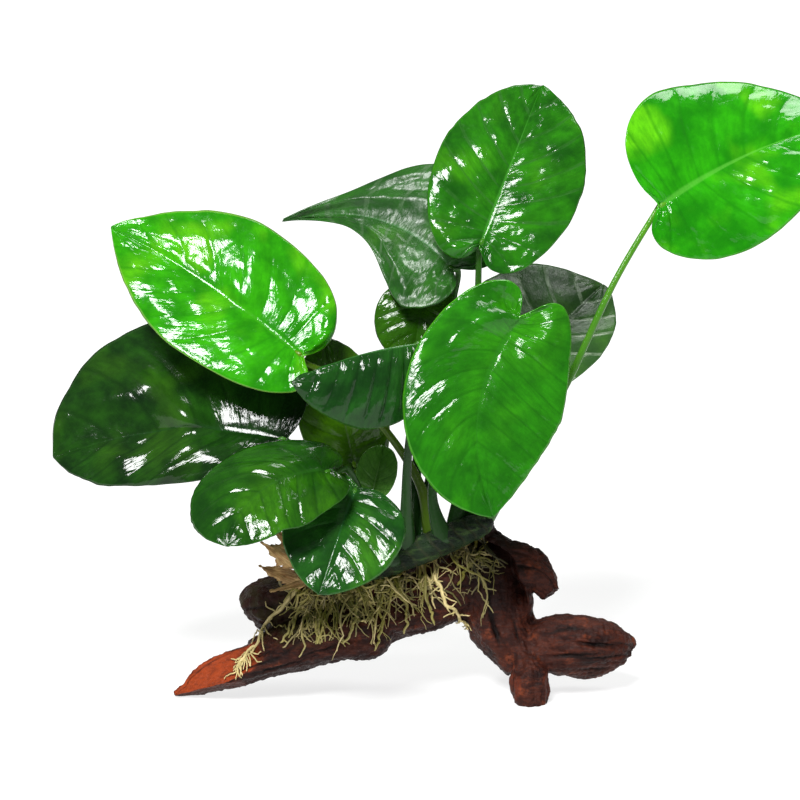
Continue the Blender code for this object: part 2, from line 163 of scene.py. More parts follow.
def nodeGroup(name, inputs, outputs):
    group = bpy.data.node_groups.new(name, "ShaderNodeTree")
    for label, kind, value in inputs:
        socket = group.interface.new_socket(name=label, in_out="INPUT", socket_type=kind)
        if value is not None:
            socket.default_value = value
    for label, kind in outputs:
        group.interface.new_socket(name=label, in_out="OUTPUT", socket_type=kind)
    start = group.nodes.new("NodeGroupInput")
    end = group.nodes.new("NodeGroupOutput")
    return group, start, end


def wire(tree, kind, settings=None, **links):  # a node, its settings, and what feeds its numbered sockets
    node = tree.nodes.new(kind)
    for key, value in (settings or {}).items():
        setattr(node, key, value)
    for key, value in links.items():
        socket = node.inputs[int(key[1:])] if key[0] == "i" and key[1:].isdigit() else node.inputs[key]
        if isinstance(value, bpy.types.NodeSocket):
            tree.links.new(value, socket)
        else:
            socket.default_value = value
    return node


def maths(tree, operation, a, b=0.5, clamp=False):
    return wire(tree, "ShaderNodeMath", {"operation": operation, "use_clamp": clamp}, i0=a, i1=b).outputs[0]


def ramp(tree, value, low, high, to=(0.0, 1.0)):  # smooth step from low to high
    node = wire(tree, "ShaderNodeMapRange", {"interpolation_type": "SMOOTHSTEP"},
                i0=value, i1=low, i2=high, i3=to[0], i4=to[1])
    return node.outputs[0]


def blendColours(tree, share, a, b, mode="MIX"):
    node = tree.nodes.new("ShaderNodeMix")
    node.data_type = "RGBA"
    node.blend_type = mode
    for socket, value in ((node.inputs[0], share), (node.inputs[6], a), (node.inputs[7], b)):
        if isinstance(value, bpy.types.NodeSocket):
            tree.links.new(value, socket)
        elif isinstance(value, (int, float)):
            socket.default_value = value
        else:
            socket.default_value = (*value, 1)
    return node.outputs[2]


# side veins, midrib and margin of a blade from its own UV map: U runs base to tip, V margin to margin
def veinGroup():
    group, start, end = nodeGroup(
        "bladeVeins",
        [("Place", "NodeSocketVector", None), ("Veins", "NodeSocketFloat", 9.0),
         ("Vein Width", "NodeSocketFloat", 0.16), ("Rib Width", "NodeSocketFloat", 0.05)],
        [("Vein", "NodeSocketFloat"), ("Rib", "NodeSocketFloat"), ("Margin", "NodeSocketFloat"),
         ("Reach", "NodeSocketFloat"), ("Share", "NodeSocketFloat"), ("Strand", "NodeSocketFloat")],
    )
    parts = wire(group, "ShaderNodeSeparateXYZ", i0=start.outputs["Place"])
    share, across = parts.outputs[0], parts.outputs[1]
    reach = maths(group, "ABSOLUTE", maths(group, "SUBTRACT", maths(group, "MULTIPLY", across, 2.0), 1.0))
    place = maths(group, "MULTIPLY", share, start.outputs["Veins"])
    cell = maths(group, "FRACT", place)
    nearVein = maths(group, "ABSOLUTE", maths(group, "SUBTRACT", maths(group, "MULTIPLY", cell, 2.0), 1.0))
    lowEdge = maths(group, "SUBTRACT", 1.0, start.outputs["Vein Width"])
    vein = ramp(group, nearVein, lowEdge, 1.0)
    ribWidth = maths(group, "MULTIPLY", start.outputs["Rib Width"], maths(group, "SUBTRACT", 1.15, share))
    rib = maths(group, "SUBTRACT", 1.0, ramp(group, reach, maths(group, "MULTIPLY", ribWidth, 0.3), ribWidth))
    strandPlace = wire(group, "ShaderNodeCombineXYZ", i0=maths(group, "MULTIPLY", place, 4.0),
                       i1=maths(group, "MULTIPLY", across, 9.0), i2=0.0).outputs[0]
    strand = wire(group, "ShaderNodeTexNoise", Vector=strandPlace, Scale=1.0, Detail=3.0, Roughness=0.6).outputs[0]
    group.links.new(vein, end.inputs["Vein"])
    group.links.new(rib, end.inputs["Rib"])
    group.links.new(ramp(group, reach, 0.965, 0.995), end.inputs["Margin"])
    group.links.new(reach, end.inputs["Reach"])
    group.links.new(share, end.inputs["Share"])
    group.links.new(ramp(group, strand, 0.3, 0.7), end.inputs["Strand"])
    return group


# two sizes of noise on the object's own coordinates, one for blotches and one for fine grain
def mottleGroup():
    group, start, end = nodeGroup(
        "mottle",
        [("Place", "NodeSocketVector", None), ("Blotch", "NodeSocketFloat", 60.0),
         ("Grain", "NodeSocketFloat", 600.0)],
        [("Blotches", "NodeSocketFloat"), ("Grains", "NodeSocketFloat")],
    )
    for label, out, detail in (("Blotch", "Blotches", 4.0), ("Grain", "Grains", 3.0)):
        noise = wire(group, "ShaderNodeTexNoise", Vector=start.outputs["Place"], Scale=start.outputs[label],
                     Detail=detail, Roughness=0.6)
        group.links.new(ramp(group, noise.outputs[0], 0.3, 0.7), end.inputs[out])
    return group


def newMaterial(name):
    material = bpy.data.materials.new(name)
    material.use_nodes = True
    tree = material.node_tree
    shader = tree.nodes["Principled BSDF"]
    return material, tree, shader


def objectPlace(tree):
    return wire(tree, "ShaderNodeTexCoord").outputs["Object"]


def pointValue(tree, name):
    return wire(tree, "ShaderNodeAttribute", {"attribute_name": name}).outputs["Fac"]


def scaled(tree, value, factor):
    return maths(tree, "MULTIPLY", value, factor)


def useGroup(tree, group, **links):
    node = tree.nodes.new("ShaderNodeGroup")
    node.node_tree = group
    for key, value in links.items():
        socket = node.inputs[key.replace("_", " ")]
        if isinstance(value, bpy.types.NodeSocket):
            tree.links.new(value, socket)
        else:
            socket.default_value = value
    return node


def relievedBy(tree, shader, height, depth, strength=1.0):  # height in shares of depth, in metres
    bump = wire(tree, "ShaderNodeBump", Strength=strength, Distance=depth, Height=height)
    tree.links.new(bump.outputs[0], shader.inputs["Normal"])


veinLines = veinGroup()
mottle = mottleGroup()


# upper side: deep and fresh green in blotches, yellower patches, dark strands and vein lines, a painted sheen
# of pale streaks beside the veins standing for reflections, and painted shade towards the base; the underside is one
# pale green
def leafMaterial(name, look):
    material, tree, shader = newMaterial(name)
    place = objectPlace(tree)
    along = wire(tree, "ShaderNodeUVMap", {"uv_map": "along"}).outputs[0]
    under = pointValue(tree, "under")
    lines = useGroup(tree, veinLines, Place=along, Veins=float(look["veins"]), Vein_Width=0.2, Rib_Width=0.05)
    strand = lines.outputs["Strand"]
    spots = useGroup(tree, mottle, Place=place, Blotch=look.get("blotch", 60.0), Grain=700.0)
    patches = wire(tree, "ShaderNodeTexNoise", Vector=place, Scale=34.0, Detail=2.0, Roughness=0.5).outputs[0]
    upper = blendColours(tree, spots.outputs["Blotches"], look["deep"], look["fresh"])
    patchShare = scaled(tree, ramp(tree, patches, 0.48, 0.68), look.get("patchy", 0.5))
    upper = blendColours(tree, patchShare, upper, look["patch"])
    upper = blendColours(tree, scaled(tree, strand, 0.45), upper, look["deep"])
    upper = blendColours(tree, scaled(tree, lines.outputs["Vein"], 0.45), upper, look["deep"])
    # painted sheen: pale streaks beside the veins stand for reflections on the vein ridges
    if look.get("paintedSheen"):
        beside = scaled(tree, ramp(tree, lines.outputs["Vein"], 0.0, 0.5), scaled(tree, strand, look["paintedSheen"]))
        upper = blendColours(tree, beside, upper, look["pale"])
    upper = blendColours(tree, scaled(tree, lines.outputs["Rib"], 0.45), upper, look["rib"])
    # painted shade: the upper side is darkest at the blade's base and clears from low to high along it
    if look.get("paintedShade"):
        low, high, depth = look["paintedShade"]
        upper = blendColours(tree, ramp(tree, lines.outputs["Share"], low, high, (depth, 0.0)), upper,
                             tuple(0.3 * c for c in look["deep"]))
    lower = blendColours(tree, lines.outputs["Rib"], look["under"], look["rib"])
    colour = blendColours(tree, under, upper, lower)
    colour = blendColours(tree, scaled(tree, lines.outputs["Margin"], 0.6), colour, look["margin"])
    tree.links.new(colour, shader.inputs["Base Color"])
    rough = look.get("rough", 0.09)
    tree.links.new(ramp(tree, spots.outputs["Grains"], 0.0, 1.0, (rough, rough + 0.06)), shader.inputs["Roughness"])
    shader.inputs["Specular IOR Level"].default_value = look.get("gloss", 0.30)
    crinkle = wire(tree, "ShaderNodeTexNoise", Vector=place, Scale=170.0, Detail=2.5, Roughness=0.5).outputs[0]
    height = maths(tree, "ADD", crinkle, scaled(tree, strand, 0.30))
    relievedBy(tree, shader, height, 0.00042, look.get("crinkle", 0.6))
    return material


# paintedShade gives painted shade towards the base: where it is darkest, where it ends, and how dark
leafLooks = {
    "top": dict(veins=10, deep=(0.006, 0.070, 0.003), fresh=(0.022, 0.200, 0.004), patch=(0.070, 0.360, 0.005),
                rib=(0.06, 0.30, 0.03), under=(0.05, 0.20, 0.03), margin=(0.05, 0.28, 0.01),
                pale=(0.08, 0.22, 0.06), paintedSheen=0.25),
    "farRight": dict(veins=10, deep=(0.008, 0.190, 0.002), fresh=(0.026, 0.380, 0.003), patch=(0.14, 0.62, 0.006),
                     rib=(0.12, 0.50, 0.05), under=(0.10, 0.40, 0.04), margin=(0.10, 0.50, 0.01), patchy=0.8),
    "leftBright": dict(veins=10, deep=(0.012, 0.190, 0.002), fresh=(0.040, 0.420, 0.003), patch=(0.16, 0.56, 0.007),
                       rib=(0.05, 0.36, 0.01), under=(0.10, 0.35, 0.04), margin=(0.30, 0.60, 0.08)),
    "leftDark": dict(veins=8, deep=(0.003, 0.016, 0.003), fresh=(0.013, 0.068, 0.005), patch=(0.035, 0.13, 0.006),
                     rib=(0.01, 0.05, 0.01), under=(0.05, 0.12, 0.04), margin=(0.02, 0.08, 0.01),
                     paintedShade=(0.05, 0.5, 0.9)),
    "lowLeft": dict(veins=8, deep=(0.005, 0.038, 0.003), fresh=(0.018, 0.110, 0.004), patch=(0.06, 0.26, 0.005),
                    rib=(0.02, 0.10, 0.01), under=(0.06, 0.14, 0.05), margin=(0.03, 0.16, 0.01),
                    paintedShade=(0.0, 0.35, 0.85)),
    "lowFront": dict(veins=8, deep=(0.006, 0.040, 0.006), fresh=(0.018, 0.110, 0.010), patch=(0.06, 0.26, 0.010),
                     rib=(0.02, 0.12, 0.03), under=(0.08, 0.20, 0.06), margin=(0.05, 0.22, 0.02)),
    "folded": dict(veins=10, deep=(0.004, 0.028, 0.004), fresh=(0.012, 0.080, 0.008), patch=(0.02, 0.12, 0.008),
                   rib=(0.05, 0.20, 0.04), under=(0.16, 0.32, 0.08), margin=(0.06, 0.18, 0.03),
                   paintedShade=(0.0, 0.3, 0.8)),
    "middleBack": dict(veins=8, deep=(0.016, 0.060, 0.002), fresh=(0.050, 0.150, 0.003), patch=(0.10, 0.26, 0.005),
                       rib=(0.03, 0.07, 0.01), under=(0.06, 0.16, 0.02), margin=(0.05, 0.14, 0.01)),
    "frontLarge": dict(veins=11, deep=(0.008, 0.095, 0.003), fresh=(0.020, 0.210, 0.004),
                       patch=(0.045, 0.340, 0.005), rib=(0.02, 0.15, 0.01), under=(0.06, 0.22, 0.03),
                       margin=(0.10, 0.45, 0.02), crinkle=0.7, patchy=0.6),
    "rightBack": dict(veins=8, deep=(0.025, 0.075, 0.018), fresh=(0.050, 0.150, 0.020), patch=(0.05, 0.24, 0.010),
                      rib=(0.12, 0.26, 0.08), under=(0.08, 0.20, 0.05), margin=(0.08, 0.25, 0.05),
                      pale=(0.36, 0.44, 0.32), paintedSheen=0.8, rough=0.35, gloss=0.25),
    "backTwisted": dict(veins=9, deep=(0.010, 0.060, 0.007), fresh=(0.022, 0.130, 0.009), patch=(0.05, 0.20, 0.008),
                        rib=(0.05, 0.18, 0.05), under=(0.08, 0.20, 0.05), margin=(0.04, 0.16, 0.02),
                        pale=(0.16, 0.26, 0.14), paintedSheen=0.35, rough=0.3, crinkle=0.9, gloss=0.4),
    "backSmall": dict(veins=8, deep=(0.012, 0.055, 0.002), fresh=(0.030, 0.130, 0.003), patch=(0.07, 0.22, 0.006),
                      rib=(0.03, 0.10, 0.01), under=(0.06, 0.16, 0.03), margin=(0.03, 0.12, 0.01)),
    "young": dict(veins=6, deep=(0.03, 0.12, 0.010), fresh=(0.08, 0.24, 0.030), patch=(0.12, 0.30, 0.05),
                  rib=(0.20, 0.36, 0.12), under=(0.16, 0.34, 0.10), margin=(0.12, 0.30, 0.06)),
}
leafMaterials = {name: leafMaterial(name + "Leaf", look) for name, look in leafLooks.items()}
print("materials made")


# ---- leaves

bladeShape = {"rows": 200, "columns": 30, "widestAt": 0.45, "veinReach": 2.2, "thick": 0.7, "ragged": 0.012}

leaves = {
    "leafTop": dict(
        node="leaf_top", look="top", base=(35, 5, 199), tip=(63, 52, 263), halves=(32, 34), face=(0.05, -0.8, 0.6),
        arch=3, notch=(0.28, 0.28), wave=(3, 0.8, 0.1), via=((24, -3, 72), (28, 2, 106), (33, 4, 160)),
        lifts=((0.12, -0.45, 0.16, -0.75, 7, 2.2), (0.55, -0.5, 0.45, -0.7, 7, 1.2)),
    ),
    "leafFarRight": dict(
        node="leaf_far_right", look="farRight", base=(114, 25, 213), tip=(202, 62, 246), halves=(45, 38),
        face=(-0.1, -0.8, 0.5), arch=3, sweep=-4, fold=(5, 5), twist=-42, notch=(0.05, 0.24), widest=(0.31, 0.31),
        shoulder=(0.94, 0.5), wave=(3, 0.8, 0.3),
        via=((35, -4, 76), (53, 2, 103), (73, 5, 138), (93, 13, 180)),
    ),
    "leafLeftBright": dict(
        node="leaf_left_bright", look="leftBright", base=(-43, -4, 152), tip=(-128, 35, 202), halves=(33, 38),
        face=(0, -0.8, 0.6), arch=3, sweep=2, notch=(0.24, 0.12), widest=(0.40, 0.38),
        shoulder=(0.90, 0.38), wave=(3, 0.8, 0.2),
        via=((15, -3, 70), (8, 0, 95), (-8, 0, 120), (-28, 2, 140)),
        lifts=((0.52, 1.0, 0.60, 0.15, 6, 2.2), (0.12, 0.6, 0.2, 0.8, 7, 2.2), (0.55, -0.5, 0.6, -0.8, 4, 0.7)),
        quilt=0.5, ripple=0.7,
    ),
    "leafLeftDark": dict(
        node="leaf_left_dark", look="leftDark", base=(-50, -5, 115), tip=(-153, 10, 103), halves=(26, 57),
        face=(-0.1, -0.8, 0.6), arch=3, sweep=7, notch=(-0.15, 0.12), widest=(0.52, 0.40),
        shoulder=(0.94, 0.55), wave=(3, 0.8, 0.0), via=((-15, -6, 58), (-20, -6, 88), (-33, -4, 103)),
        lifts=((0.90, 0.9, 0.66, 0.10, 6, 3.0), (0.66, 0.10, 0.50, -0.85, 6, 3.0), (0.75, -0.6, 0.60, -0.95, 5, 2.0),
               (0.5, -0.4, 0.3, -0.8, 6, 1.6), (0.75, 0.9, 0.7, 0.5, 3, 1.2)), quilt=0.4, ripple=0.5,
    ),
    "leafLowLeft": dict(
        node="leaf_low_left", look="lowLeft", base=(-30, -35, 108), tip=(-72, -66, 83), halves=(25, 29),
        face=(0, -0.7, 0.7), arch=3, sweep=10, fold=(8, -14), curl=(-15, -10), notch=(0.25, 0.25),
        widest=(0.40, 0.50), shoulder=(0.98, 0.62), wave=(3, 0.6, 0.4),
        via=((-9, -12, 58), (-14, -13, 83), (-22, -19, 104)),
        lifts=((0.7, 0.4, 0.3, 0.1, 6, 1.2), (0.5, -0.5, 0.7, -0.7, 6, 1.0)),
    ),
    "leafLowFront": dict(
        node="leaf_low_front", look="lowFront", base=(-19, -26, 98), tip=(-34, -58, 60), halves=(27, 25),
        face=(0, -0.8, 0.5), arch=3, notch=(0.05, 0.22), wave=(3, 0.8, 0.0),
        via=((-3, -13, 61), (-7, -14, 80), (-13, -18, 92)),
        lifts=((0.35, -0.9, 0.6, -0.95, 4, 1.2), (0.3, 0.5, 0.4, 0.7, 6, 1.0)),
    ),
    "leafFolded": dict(
        node="leaf_folded", look="folded", base=(9, -22, 161), tip=(-46, -37, 147), halves=(33, 35),
        face=(0, -0.3, 0.9), arch=3, fold=(-48, -46), curl=(-25, -12), notch=(-0.05, 0.20),
        shoulder=(1.0, 0.55), wave=(3, 0.4, 0.0), via=((3, -10, 62), (3, -14, 104), (7, -18, 140)), quilt=1.1,
        ripple=0.5,
    ),
    "leafMiddleBack": dict(
        node="leaf_middle_back", look="middleBack", base=(-20, 10, 99), tip=(-34, 22, 155), halves=(20, 20),
        face=(0, -0.8, 0.6), arch=3, wave=(3, 0.4, 0.0), via=((-21, -3, 56), (-22, 8, 78), (-21, 13, 91)),
    ),
    "leafFrontLarge": dict(
        node="leaf_front_large", look="frontLarge", base=(50, -20, 170), tip=(39, -52, 92), halves=(36, 33),
        face=(0.1, -0.9, 0.4), arch=3, sweep=12, fold=(5, 5), notch=(0.40, 0.30), shoulder=(0.93, 0.5),
        wave=(3, 0.8, 0.3), via=((19, -11, 70), (14, -10, 92), (19, -7, 118), (37, -6, 148)),
        lifts=((0.42, 0.50, 0.06, -0.05, 7, 3.6), (0.15, 0.45, 0.32, 0.95, 7, -3.5), (0.34, -0.35, 0.10, -0.95, 5, 2.4),
               (0.9, 0.2, 0.8, 0.5, 6, 0.8)), quilt=0.4, ripple=0.6,
    ),
    "leafRightBack": dict(
        node="leaf_right_back", look="rightBack", base=(51, 22, 139), tip=(93, 72, 170), halves=(40, 24),
        face=(0.1, -0.7, 0.7), arch=3, notch=(0.40, 0.20), wave=(3, 0.6, 0.2),
        via=((30, -2, 73), (36, 12, 96), (46, 24, 120)),
    ),
    "leafBackTwisted": dict(
        node="leaf_back_twisted", look="backTwisted", base=(23, 15, 187), tip=(-53, 52, 202), halves=(29, 45),
        face=(0, -0.8, 0.6), arch=3, sweep=12, widest=(0.0, 0.10), shoulder=((0.48, 0.12), (0.50, 0.30)),
        wave=(3, 1.2, 0.1), via=((10, -2, 66), (17, 16, 119), (22, 23, 163)), ripple=1.6, crease=0.4, quilt=0.2,
        lifts=((0.95, 0.3, 0.5, 0.35, 4, 2.2), (0.5, 0.35, 0.2, 0.1, 4, 2.0), (0.35, 0.55, 0.2, 0.7, 5, 2.0),
        (0.8, -0.4, 0.45, -0.7, 4, 1.6), (0.3, -0.3, 0.15, -0.8, 4, 1.5)),
    ),
    "leafBackSmall": dict(
        node="leaf_back_small", look="backSmall", base=(11, 20, 176), tip=(5, 10, 143), halves=(18, 20),
        face=(0, -0.8, 0.4), arch=3, wave=(3, 0.4, 0.0), via=((5, -3, 63), (8, 12, 110), (11, 26, 150)),
    ),
    "leafYoung": dict(
        node="leaf_young", look="young", base=(-12, -5, 91), tip=(-7, 5, 110), halves=(10, 10),
        face=(0, -0.8, 0.4), arch=1, fold=(20, 20), curl=(15, 15), wave=(3, 0.0, 0.0), slim=0.7,
        via=((-9, -5, 59), (-12, -3, 75), (-13, -3, 84)),
    ),
}


# two bezier arcs for half an outline: out of the notch and round the lobe, then on to the tip
def margin(share, notch, shoulder, widest):
    at = bladeShape["widestAt"]
    lean = max(-notch, 0)
    lobe = bezier([(0, 0), (-notch, 0.22), (lean - 0.04, 1), (widest, 1)], np.clip(share / at, 0, 1))
    rest = bezier([(widest, 1), (widest + 0.3, 1), shoulder, (1, 0)], np.clip((share - at) / (1 - at), 0, 1))
    return np.where((share < at)[..., None], lobe, rest)


def bladeAxes(leaf):  # along the leaf, up from its upper side, and to its right
    along = unit(np.subtract(leaf["tip"], leaf["base"]).astype(float))
    face = np.array(leaf["face"], float)
    up = unit(face - (face @ along) * along)
    return along, up, np.cross(along, up)


# a side vein is a bowed line from the midrib to the margin; the flat leaf is carried along a bowed
# midrib, and a strip across it is an arc of a circle that starts at the fold and turns by the curl
def halfBlade(leaf, share, reach, side):
    half = 0 if side < 0 else 1
    shoulder = np.broadcast_to(leaf.get("shoulder", (0.95, 0.5)), (2, 2))[half]
    notch, widest = leaf.get("notch", (0.22, 0.22))[half], leaf.get("widest", (0.4, 0.4))[half]
    edge = margin(share, notch, shoulder, widest)
    root = share ** bladeShape["veinReach"]
    x = (1 - reach) ** 2 * root
    x = x + 2 * reach * (1 - reach) * (0.65 * root + 0.35 * edge[..., 0]) + reach**2 * edge[..., 0]
    y = (2 * reach * (1 - reach) * 0.6 + reach**2) * edge[..., 1]
    along, up, right = bladeAxes(leaf)
    base, tip = np.array(leaf["base"], float), np.array(leaf["tip"], float)
    crown = (base + tip) / 2 + 2 * leaf["arch"] * up + 2 * leaf.get("sweep", 0) * right
    t = np.clip(x, 0, 1)[..., None]
    tangent = 2 * (1 - t) * (crown - base) + 2 * t * (tip - crown)
    spine = bezier([base, crown, tip], t[..., 0]) + (x[..., None] - t) * tangent
    tangent = unit(tangent)
    turn = np.radians(leaf.get("twist", 0)) * (t - 0.5)
    normal = up * np.cos(turn) + right * np.sin(turn)
    normal = unit(normal - (normal * tangent).sum(-1, keepdims=True) * tangent)
    width = leaf["halves"][half]
    fold = np.radians(leaf.get("fold", (8, 8))[half])
    curl = np.radians(leaf.get("curl", (-15, -15))[half])
    out = width * (np.sin(fold + curl * y) - np.sin(fold)) / curl
    rise = width * (np.cos(fold) - np.cos(fold + curl * y)) / curl
    count, height, phase = leaf["wave"]
    rise = rise + height * reach**2 * np.sin(2 * np.pi * (count * share + phase + 0.13 * side))
    return spine + side * out[..., None] * np.cross(tangent, normal) + rise[..., None] * normal, y * width


# normals of a grid of points, from the steps along its rows and columns
def gridNormals(grid):
    return unit(np.cross(np.gradient(grid, axis=1), np.gradient(grid, axis=0)))


# the sum of ridges, each a bell of its own width and height about a line between two places of the blade
def ridges(share, across, lines):
    place = np.stack([share * 90, across * 35], -1)
    total = np.zeros_like(share)
    for s0, a0, s1, a1, width, height in lines:
        start, step = np.array([s0 * 90, a0 * 35]), np.array([(s1 - s0) * 90, (a1 - a0) * 35])
        t = np.clip((place - start) @ step / max(step @ step, 1e-6), 0, 1)
        total += height * np.exp(-(((place - start - t[..., None] * step) ** 2).sum(-1)) / width**2)
    return total


# pillows between the side veins, a groove along the midrib, ridges and slow ripples stand out of the
# blade, the underside follows at the blade's thickness with a raised rib, and both meet at the margin
def addBlade(name, leaf, seed):
    look = leafLooks[leaf["look"]]
    size = bladeShape["rows"] if min(leaf["halves"]) > 12 else 80
    half = bladeShape["columns"]
    share, across = np.meshgrid(np.linspace(0, 1, size + 2)[1:-1], np.linspace(-1, 1, 2 * half + 1), indexing="ij")
    reach = np.abs(across)
    ends = smooth(0, 0.06, share) * (1 - smooth(0.94, 1, share))
    nicks = waves(np.stack([share * 100, 7 * np.sign(across)], -1), 16, 3, 0.6, seed + 90)
    ragged = reach * (1 + bladeShape["ragged"] * nicks * ends * reach**6)
    left, leftOut = halfBlade(leaf, share, ragged, -1)
    right, rightOut = halfBlade(leaf, share, ragged, 1)
    middle = np.where((across < 0)[..., None], left, right)
    out = np.where(across < 0, leftOut, rightOut)
    normal = gridNormals(middle)
    cell = (share * look["veins"]) % 1
    pillow = 1 - np.abs(2 * cell - 1) ** 3
    bow = 1 - np.abs(2 * reach - 1) ** 3
    loop = np.exp(-(((reach - 0.80 - 0.10 * np.sin(np.pi * cell)) / 0.03) ** 2))
    spread = smooth(0.02, 0.2, reach) * (1 - reach**8) * ends
    width = min(leaf["halves"]) / 34
    place = np.stack([share * 90, across * 40], -1)
    ripple = waves(place, 36, 2, 0.55, seed) * leaf.get("ripple", 0.9) * smooth(0, 0.3, reach)
    crease = waves(place, 8, 3, 0.6, seed + 50) * leaf.get("crease", 0.16)
    flutter = waves(np.stack([share * 100, 9 * np.sign(across)], -1), 22, 2, 0.6, seed + 70) * reach**4
    groove = 0.6 * np.exp(-((out / 1.0) ** 2)) * (1 - 0.8 * share)
    relief = leaf.get("quilt", 0.75) * pillow * spread * (0.45 + 0.55 * bow) - 0.16 * loop * spread
    relief = (relief + (ripple + crease * spread + leaf.get("flutter", 0.5) * flutter) * ends) * width
    relief = relief + ridges(share, across, leaf.get("lifts", ())) * ends
    body = 0.5 * bladeShape["thick"] * np.sqrt(np.clip(1 - reach**8, 0, 1))
    rib = 0.9 * np.exp(-((out / 1.2) ** 2)) * (1 - 0.75 * share)
    upper = middle + normal * (relief + body - groove)[..., None]
    lower = middle + normal * (relief - body - rib)[..., None]
    ring = np.concatenate([upper, lower[:, -2:0:-1]], axis=1)
    flat = np.stack([share, 0.5 + 0.5 * across], -1)
    uv = np.concatenate([flat, flat[:, -2:0:-1]], axis=1)
    under = np.concatenate([np.zeros_like(share), np.ones_like(share[:, -2:0:-1])], axis=1)
    points = np.vstack([ring.reshape(-1, 3), leaf["base"], leaf["tip"]])
    uv = np.vstack([uv.reshape(-1, 2), (0, 0.5), (1, 0.5)])
    under = np.append(under.ravel(), (0.5, 0.5))
    faces = tubeFaces(size, ring.shape[1])
    piece = addMesh(name + "Blade", points, faces, uv, {"under": under}, leafMaterials[leaf["look"]])
    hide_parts(leaf["node"] + "_blade")


for i, (name, leaf) in enumerate(leaves.items()):
    addBlade(name, leaf, 10 * i)
print("leaves made")


# ---- leaf stalks

stalkShape = {"rings": 70, "sides": 16, "top": 1.15, "foot": 2.3, "flare": 2.2}


stalkLooks = {  # at the foot, at the blade, and in the blotches
    "dark": ((0.012, 0.045, 0.008), (0.045, 0.190, 0.010), (0.008, 0.035, 0.006)),
    "fresh": ((0.030, 0.120, 0.008), (0.120, 0.380, 0.020), (0.040, 0.200, 0.008)),
    "olive": ((0.060, 0.110, 0.010), (0.110, 0.240, 0.008), (0.050, 0.110, 0.006)),
}


def stalkMaterial(name, foot, top, blotch):
    material, tree, shader = newMaterial(name + "Stalk")
    place = objectPlace(tree)
    along = wire(tree, "ShaderNodeUVMap", {"uv_map": "along"}).outputs[0]
    spots = useGroup(tree, mottle, Place=place, Blotch=120.0, Grain=900.0)
    reach = wire(tree, "ShaderNodeSeparateXYZ", i0=along).outputs[0]
    colour = blendColours(tree, ramp(tree, reach, 0.1, 0.9), foot, top)
    colour = blendColours(tree, scaled(tree, spots.outputs["Blotches"], 0.5), colour, blotch)
    tree.links.new(colour, shader.inputs["Base Color"])
    shader.inputs["Roughness"].default_value = 0.2
    shader.inputs["Specular IOR Level"].default_value = 0.25
    relievedBy(tree, shader, spots.outputs["Grains"], 0.0002, 0.4)
    return material


# fine ridges run up the stalk, and one side is slightly hollow
def stalkProfile(angle, along):
    ridges = 0.02 * np.sin(11 * angle + 2 * along)
    hollow = 0.10 * np.exp(-((np.cos(angle) + 1) / 0.35) ** 2)
    return 1 + ridges - hollow


# thin up to a slight joint under the blade, and wide and clasping at the foot
def addStalk(name, leaf, material):
    along, up, _ = bladeAxes(leaf)
    base = np.array(leaf["base"], float)
    path = through([*leaf["via"], base - 5 * up - 1.5 * along, base - 0.9 * up, base + 5 * along - 0.5 * up],
                   stalkShape["rings"])
    share = np.linspace(0, 1, stalkShape["rings"])
    radius = stalkShape["top"] + (stalkShape["foot"] - stalkShape["top"]) * (1 - share) ** 2
    radius = radius + stalkShape["flare"] * np.exp(-((share / 0.10) ** 2))
    radius = radius + 0.35 * np.exp(-(((share - 0.86) / 0.035) ** 2))
    radius = radius * (1 - 0.75 * smooth(0.90, 1, share)) * leaf.get("slim", 1.0)
    points, faces, uv = sweep(path, radius, stalkShape["sides"], stalkProfile)
    piece = addMesh(name + "Stalk", points, faces, uv, None, material)
    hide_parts(leaf["node"] + "_stalk")


stalkSkins = {name: stalkMaterial(name, *look) for name, look in stalkLooks.items()}
stalkAges = {"leafFarRight": "fresh", "leafLeftBright": "olive", "leafMiddleBack": "olive"}
for name, leaf in leaves.items():
    addStalk(name, leaf, stalkSkins[stalkAges.get(name, "dark")])
print("stalks made")


# ---- rhizome

rhizome = {
    "stations": (
        ((-41, -6, 53), 3.0), ((-38, -6, 54), 5.0), ((-24, -8, 56), 6.0), ((-9, -9, 60), 6.4),
        ((13, -9, 68), 6.6), ((26, -7, 73), 6.0), ((36, -5, 77), 4.8), ((40, -4, 79), 2.5),
    ),
    "rings": 180, "sides": 48,
}


def rhizomeMaterial():
    material, tree, shader = newMaterial("rhizomeSkin")
    place = objectPlace(tree)
    spots = useGroup(tree, mottle, Place=place, Blotch=140.0, Grain=900.0)
    streaked = wire(tree, "ShaderNodeMapping", i0=place, Scale=(60.0, 420.0, 420.0)).outputs[0]
    streak = wire(tree, "ShaderNodeTexNoise", Vector=streaked, Scale=1.0, Detail=4.0, Roughness=0.6).outputs[0]
    colour = blendColours(tree, spots.outputs["Blotches"], (0.004, 0.009, 0.005), (0.012, 0.030, 0.010))
    colour = blendColours(tree, ramp(tree, streak, 0.5, 0.68, (0.0, 0.8)), colour, (0.050, 0.095, 0.025))
    colour = blendColours(tree, scaled(tree, pointValue(tree, "scar"), 0.5), colour, (0.045, 0.045, 0.022))
    tree.links.new(colour, shader.inputs["Base Color"])
    tree.links.new(ramp(tree, streak, 0.3, 0.7, (0.25, 0.5)), shader.inputs["Roughness"])
    shader.inputs["Specular IOR Level"].default_value = 0.15
    relievedBy(tree, shader, maths(tree, "ADD", streak, spots.outputs["Grains"]), 0.0005, 0.7)
    return material


